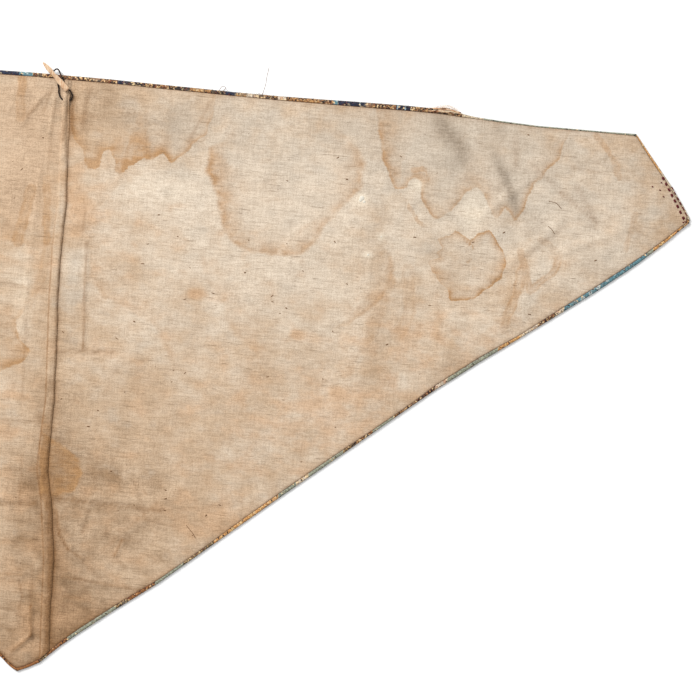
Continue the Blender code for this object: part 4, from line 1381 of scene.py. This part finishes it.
def face_cloth(x, y):
    """Name of the cloth at a place on the patchwork."""
    low = read_line(LOW_INNER, abs(x)) + RIM_REACH + float(tip_slant(x))
    high = read_line(HIGH_INNER, abs(x)) - RIM_REACH
    border = border_width(low, high)
    if high - y < border and high - y <= y - low:
        return edge_cloth(TOP_PATCHES, x if x > TOP_PATCHES[0].start else -x)
    if y - low < border:
        return edge_cloth(LOW_PATCHES, abs(x))
    band = sum(y > start for start in BANDS)
    column = int((x + HALF_WIDTH + BAND_SHIFT * band) // BAND_PATCH)
    return BAND_CLOTHS[(3 * column + 5 * band) % len(BAND_CLOTHS)]


def face_columns():
    """Places of the columns, with every edge of a patch among them."""
    end = HALF_WIDTH - CUT_CORNER_RIM
    cuts = {patch.start for patch in TOP_PATCHES + LOW_PATCHES if patch.start < end}
    cuts |= {-cut for cut in cuts} | {-end, end}
    for number in range(int(2.0 * HALF_WIDTH / BAND_SHIFT) + 1):
        cut = BAND_SHIFT * number - HALF_WIDTH
        if abs(cut) < end and min(abs(cut - other) for other in cuts) > 0.9:
            cuts.add(cut)
    cuts = sorted(cut for cut in cuts if abs(cut) <= end)
    columns = []
    for start, stop in zip(cuts, cuts[1:]):
        count = max(1, int(round((stop - start) / 3.0)))
        columns += [start + (stop - start) * part / count for part in range(count)]
    return np.array(columns + [end])


def cut_bands(mesh):
    """Cuts the faces along the level seams between the bands of patches."""
    shape = bmesh.new()
    shape.from_mesh(mesh)
    for start in BANDS:
        whole = shape.verts[:] + shape.edges[:] + shape.faces[:]
        place = to_world(0.0, start, 0.0)
        bmesh.ops.bisect_plane(shape, geom=whole, dist=1e-7, plane_co=place, plane_no=(0.0, 1.0, 0.0))
    shape.to_mesh(mesh)
    shape.free()


def make_face(looks):
    """The patchwork, its edge turned up over the lining, in one closed sheet."""
    main = face_columns()
    across = [row.share for row in RIM_PROFILE]
    rim_tops = [row.top for row in RIM_PROFILE]
    ends = HALF_WIDTH - CUT_CORNER_RIM * np.array(across)
    columns = np.concatenate([-ends, main[1:-1], ends[::-1]])
    end_level = np.concatenate([rim_tops, np.zeros(len(main) - 2), rim_tops[::-1]])
    near = np.abs(columns)
    low, high = read_line(LOW, near) + tip_slant(columns), read_line(HIGH, near)
    inner_low = read_line(LOW_INNER, near) + RIM_REACH + tip_slant(columns)
    inner_high = read_line(HIGH_INNER, near) - RIM_REACH
    border = border_width(inner_low, inner_high)
    floor, ceiling = inner_low + RIM_STEP, inner_high - RIM_STEP
    first, last = inner_low + border, inner_high - border
    flat = [floor, floor + 0.5 * border, first]
    flat += [first + part * (last - first) for part in np.linspace(0.1, 0.9, 9)]
    flat += [last, ceiling - 0.5 * border, ceiling]
    rows = [(low + row.share * (inner_low - low), row.top, row.under) for row in RIM_PROFILE]
    rows += [(height, 0.0, 0.0) for height in flat]
    rows += [(high - row.share * (high - inner_high), row.top, row.under) for row in RIM_PROFILE[::-1]]
    heights, tops, unders = zip(*rows)
    y = np.array(heights)
    x = np.broadcast_to(columns, y.shape).copy()
    outermost = np.ones_like(y, bool)
    outermost[1:-1, 1:-1] = False
    lumps = swell(x + 0.7 * y, 0.3 * x, RIM_WAVES)
    level = np.maximum(np.array(tops)[:, None], end_level[None, :])
    top = np.maximum(FACE_THICK, level * (RIM_THICK + lumps))
    top = np.where(outermost, RIM_PROFILE[0].top * RIM_THICK, top)
    under = np.where(outermost, RIM_PROFILE[0].under, np.array(unders)[:, None])
    reach = np.minimum(y - inner_low, inner_high - y) / border
    rows_in = np.array(across + [2.0] * len(flat) + across[::-1])
    columns_in = np.array(across + [2.0] * (len(main) - 2) + across[::-1])
    rim = np.minimum(rows_in[:, None], columns_in[None, :])
    painted = {"reach": np.clip(reach, -1.0, 2.0), "rim": rim}
    mesh = sheet_mesh("patchwork", x, y, under, top, painted)
    cut_bands(mesh)
    face = add_object("patchwork", mesh, looks.values())
    names, picks = list(looks), []
    for polygon in mesh.polygons:
        centre = polygon.center / MM
        picks.append(names.index(face_cloth(centre.x, centre.y + MIDDLE)))
    mesh.polygons.foreach_set("material_index", picks)
    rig.ride(face, BODY)
    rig.replaces(face, "patchwork_face")
    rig.slot(face, "patchwork_face")
    return face


def sewing_finish(name, colour):
    finish = Finish(name, 0.8)
    strands = finish.noise(0.6, 0.6, 2.0)
    dull = tuple(0.45 * part for part in colour)
    finish.colour(finish.mix(strands, dull, colour))
    finish.bump(strands, 0.1, 0.5)
    return finish.material


def tuft_finish(look):
    """Loose silk with a painted highlight along its strands, and dark between them."""
    finish = Finish("loose_gold_silk", 0.45)
    strand = finish.noise(16.0, 0.8, 2.0, 6.0)
    base = finish.mix(finish.rise(strand, 0.42, 0.5), shade_of(74, 38, 30), look.tuft)
    # The palest colour is a painted highlight along the strands
    finish.colour(finish.mix(finish.rise(strand, 0.5, 0.57), base, shade_of(250, 234, 202)))
    finish.bump(strand, 0.2, 0.5)
    return finish.material


def lining_top(x, y):
    """Height of the lining's upper side at one place."""
    place = np.array([[float(x)]]), np.array([[float(y)]])
    return LINING_BASE + LINING_THICK + float(lining_relief(*place)[0, 0])


def bead_line(x, y, half_x, half_y, radius, rise=0.25):
    """One stitch: a short tube with round ends that dips into the cloth at both."""
    start_x, start_y = x - half_x, y - half_y
    points, radii = [], []
    for part in (0.0, 0.12, 0.3, 0.5, 0.7, 0.88, 1.0):
        x, y = start_x + 2.0 * half_x * part, start_y + 2.0 * half_y * part
        arch = 4.0 * part * (1.0 - part)
        beyond = LINING_END - x < 0.0 or lining_high(x) < y
        base = RIM_THICK + RIM_LUMPS if beyond else lining_top(x, y)
        points.append(to_world(x, y, base + rise * arch - STITCH_SINK))
        radii.append(radius * MM * (0.45 + 0.55 * min(1.0, 2.0 * arch)))
    return tube(points, radii, 8)


def low_dome(x, y, radius):
    """A fleck of lint: a low round heap that stands on the lining."""
    base = lining_top(x, y) - LINT_SINK
    height = LINT_SINK + LINT_SHARE * radius
    shares = (0.0, 0.35, 0.6, 0.8, 0.95)
    points = [to_world(x, y, base + height * share) for share in shares]
    return tube(points, [radius * MM * (1.0 - share * share) ** 0.5 for share in shares], 14)


def make_stitches(look):
    """The dark red running stitches at the cut corner, and the single ones round them."""
    stitches = []
    draw = np.random.default_rng(STITCH_SEED)
    for row in STITCH_ROWS:
        run_x, run_y = row.x1 - row.x0, row.y1 - row.y0
        for number in range(row.count):
            part = (number + 0.5) / row.count
            x = row.x0 + run_x * part + draw.uniform(-0.3, 0.3)
            y = row.y0 + run_y * part + draw.uniform(-0.3, 0.3)
            half = 0.5 * STITCH_LONG / hypot(run_x, run_y) * draw.uniform(0.85, 1.1)
            stitches.append(bead_line(x, y, run_x * half, run_y * half, STITCH_RADIUS))
    for x, y in STITCH_DOTS:
        stitches.append(bead_line(x, y, *DOT_HALF, STITCH_RADIUS))
    obj = join_tubes("corner_stitches", stitches, sewing_finish("dark_red_thread", look.stitch))
    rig.slot(obj, "patchwork_face")


def bent_thread(points, radius):
    """A thin thread over a few points, rounded between them."""
    route = smooth_route(points, 6)
    return tube(route, [radius * MM] * len(route), 5)


def make_fuzz(look, draw):
    """The fuzz of worn silk on the long edge."""
    frays = []
    for fuzz in FUZZ:
        for _ in range(fuzz.count):
            x = fuzz.centre + draw.uniform(-fuzz.spread, fuzz.spread)
            y = float(read_line(HIGH, abs(x))) - draw.uniform(0.5, 3.5)
            reach, lean = draw.uniform(0.4, 1.0) * fuzz.tall, draw.uniform(-0.9, 0.9)
            rise, fall = draw.uniform(-0.2, 0.8), draw.uniform(0.4, 2.0)
            points = [
                (x, y, FUZZ_BASE),
                (x + 0.3 * lean * reach, y + 0.45 * reach, FUZZ_BASE + rise),
                (x + 0.9 * lean * reach, y + 0.8 * reach, max(0.4, FUZZ_BASE - fall)),
            ]
            frays.append(bent_thread(points, draw.uniform(*FUZZ_RADIUS)))
    obj = join_tubes("frayed_edge", frays, sewing_finish("frayed_silk", look.fray))
    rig.slot(obj, "patchwork_face")


def make_tuft(look, draw):
    """The tuft of loose gold silk, with a few thin hairs above its bold strands."""
    tuft = []
    for strands in TUFT:
        for _ in range(strands.count):
            x, stop = draw.uniform(*TUFT_START), draw.uniform(*TUFT_STOP)
            y, y_stop = float(read_line(HIGH, x)), float(read_line(HIGH, stop))
            inward, lift = draw.uniform(*strands.inward), draw.uniform(*strands.lift)
            z = draw.uniform(*TUFT_LEVEL)
            points = [
                (x, y - inward, z),
                (x + 0.35 * (stop - x), y - inward + 0.8 * lift, z + 0.8),
                (x + 0.7 * (stop - x), 0.3 * y + 0.7 * y_stop - 0.7 * inward + lift, z + 0.6),
                (stop, y_stop - 0.4 * inward + 0.5 * lift, z - 0.6),
            ]
            tuft.append(bent_thread(points, draw.uniform(*strands.radius)))
    gold = join_tubes("gold_tuft", tuft, tuft_finish(look))
    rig.slot(gold, "patchwork_face")


def make_lint(look):
    """The flecks of pale lint that stand on the lining."""
    finish = sewing_finish("pale_lint", look.lint)
    lint = join_tubes("pale_lint", [low_dome(*fleck) for fleck in LINT], finish)
    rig.slot(lint, "lining_right")


def make_husks(look, draw):
    """The loose threads, and the dark husks in the weave."""
    threads = []
    for line in THREADS:
        points = []
        for x, y in line:
            beyond = y > read_line(HIGH, abs(x)) - 2.0
            points.append((x, y, THREAD_ON_RIM if beyond else lining_top(x, y) + THREAD_LIFT))
        threads.append(bent_thread(points, THREAD_RADIUS))
    for x, y in SPECKS:
        tilt, half = draw.uniform(-0.9, 0.9), 0.5 * draw.uniform(*HUSK_LONG)
        radius = draw.uniform(*HUSK_RADIUS)
        threads.append(bead_line(x, y, half * cos(tilt), half * sin(tilt), radius, HUSK_RISE))
    husks = join_tubes("threads_and_husks", threads, sewing_finish("dark_husk", look.speck))
    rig.slot(husks, "lining_right")


def make_camera(look):
    camera = bpy.data.cameras.new("camera")
    camera.lens = LENS
    camera.sensor_width = SENSOR
    camera.clip_end = 20.0
    obj = bpy.data.objects.new("camera", camera)
    obj.location = (CAMERA_AT[0], CAMERA_AT[1], look.camera_height)
    obj.rotation_euler = (0.0, 0.0, radians(TURN))
    bpy.context.scene.collection.objects.link(obj)
    bpy.context.scene.camera = obj


def make_stage(look):
    """A plain pale floor, an even fill and one soft lamp from the upper left."""
    sides = ((-1, -1), (1, -1), (1, 1), (-1, 1))
    corners = [(FLOOR_REACH * x, FLOOR_REACH * y, FLOOR_LEVEL) for x, y in sides]
    mesh = bpy.data.meshes.new("floor")
    mesh.from_pydata(corners, [], [(0, 1, 2, 3)])
    finish = Finish("plain_floor", 0.9)
    finish.colour(look.floor)
    floor = add_object("floor", mesh, [finish.material])
    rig.stage(floor)
    world = bpy.data.worlds.new("fill")
    bpy.context.scene.world = world
    world.use_nodes = True
    sky = world.node_tree.nodes["Background"]
    sky.inputs["Color"].default_value = (1.0, 1.0, 1.0, 1.0)
    sky.inputs["Strength"].default_value = look.sky
    lamp = bpy.data.lights.new("soft_lamp", "AREA")
    lamp.energy = look.lamp
    lamp.size = LAMP_SIZE
    obj = bpy.data.objects.new("soft_lamp", lamp)
    obj.location = LAMP_AT
    obj.rotation_euler = (Vector(LAMP_AIM) - obj.location).to_track_quat("-Z", "Y").to_euler()
    bpy.context.scene.collection.objects.link(obj)
    bpy.context.scene.view_settings.view_transform = "Standard"


class CLOTH_OT_camera(bpy.types.Operator):
    """Set the camera straight above, at the photographed angle"""
    bl_idname = "temple_cloth.camera"
    bl_label = "Camera"

    def execute(self, context):
        make_camera(context.scene.cloth_stage)
        return {"FINISHED"}


class CLOTH_OT_loop(bpy.types.Operator):
    """Make the twisted cord and the toggle it holds"""
    bl_idname = "temple_cloth.loop"
    bl_label = "Cord and toggle"

    def execute(self, context):
        look = context.scene.cloth_head
        toggle = make_toggle(look)
        cord, route = make_cord(look)
        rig.cord(
            cord, exit=route[0], length=CORD_LENGTH, diameter=CORD_SIZE, far_end="object",
            stiffness="limp", lay="loose", path=route, with_pieces=[toggle]
        )
        return {"FINISHED"}


class CLOTH_OT_face(bpy.types.Operator):
    """Make the patchwork face with its turned edge"""
    bl_idname = "temple_cloth.face"
    bl_label = "Patchwork face"

    def execute(self, context):
        look = context.scene.cloth_patchwork
        looks = {silk.name: brocade_finish(silk, getattr(look, silk.name)) for silk in SILKS}
        face = make_face(looks)
        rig.sheet(face, flat=(1.513, 0.717), held="laid", rests_on=["floor"], area=0.6145)
        return {"FINISHED"}


class CLOTH_OT_lining(bpy.types.Operator):
    """Make both widths of the lining, with the lapped seam between them"""
    bl_idname = "temple_cloth.lining"
    bl_label = "Lining"

    def execute(self, context):
        finish = lining_finish(context.scene.cloth_lining)
        right = make_right_lining(finish)
        left = make_left_lining(finish)
        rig.sheet(right, flat=(0.724, 0.690), held="laid", rests_on=["patchwork"], area=0.30)
        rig.sheet(left, flat=(0.789, 0.710), held="laid", rests_on=["patchwork"], area=0.31)
        return {"FINISHED"}


class CLOTH_OT_sewing(bpy.types.Operator):
    """Make the stitches at the cut corner, the frayed edge and the loose threads"""
    bl_idname = "temple_cloth.sewing"
    bl_label = "Sewing and threads"

    def execute(self, context):
        look = context.scene.cloth_sewing
        draw = np.random.default_rng(THREAD_SEED)
        make_stitches(look)
        make_fuzz(look, draw)
        make_tuft(look, draw)
        make_lint(look)
        make_husks(look, draw)
        return {"FINISHED"}


class CLOTH_OT_stage(bpy.types.Operator):
    """Make the floor and the soft studio light"""
    bl_idname = "temple_cloth.stage"
    bl_label = "Floor and light"

    def execute(self, context):
        make_stage(context.scene.cloth_stage)
        return {"FINISHED"}


OPERATORS = (
    CLOTH_OT_camera, CLOTH_OT_loop, CLOTH_OT_face, CLOTH_OT_lining, CLOTH_OT_sewing, CLOTH_OT_stage,
)
SETTINGS = {
    "cloth_lining": LiningSettings,
    "cloth_patchwork": PatchworkSettings,
    "cloth_head": HeadSettings,
    "cloth_sewing": SewingSettings,
    "cloth_stage": StageSettings,
}


class CLOTH_PT_steps(bpy.types.Panel):
    """Lists the steps that build the cloth"""
    bl_idname = "CLOTH_PT_steps"
    bl_label = "Temple cloth"
    bl_space_type = "VIEW_3D"
    bl_region_type = "UI"
    bl_category = "Cloth"

    def draw(self, context):
        for operator in OPERATORS:
            self.layout.operator(operator.bl_idname)
        for name, group in SETTINGS.items():
            settings = getattr(context.scene, name)
            box = self.layout.box()
            for key in group.__annotations__:
                box.prop(settings, key)


CLASSES = (*SETTINGS.values(), *OPERATORS, CLOTH_PT_steps)


def register():
    for item in CLASSES:
        bpy.utils.register_class(item)
    for name, group in SETTINGS.items():
        setattr(bpy.types.Scene, name, PointerProperty(type=group))


def unregister():
    for name in SETTINGS:
        delattr(bpy.types.Scene, name)
    for item in reversed(CLASSES):
        bpy.utils.unregister_class(item)


def main():
    register()
    bpy.ops.temple_cloth.camera()
    bpy.ops.temple_cloth.loop()
    bpy.ops.temple_cloth.face()
    bpy.ops.temple_cloth.lining()
    bpy.ops.temple_cloth.sewing()
    bpy.ops.temple_cloth.stage()
    boxes = {"cad": cad_box, "visual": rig.bounds()}
    sizes = {name: [list(corner) for corner in box] for name, box in boxes.items()}
    with open("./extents.json", "w") as out:
        json.dump(sizes, out)


if __name__ == "__main__":
    main()
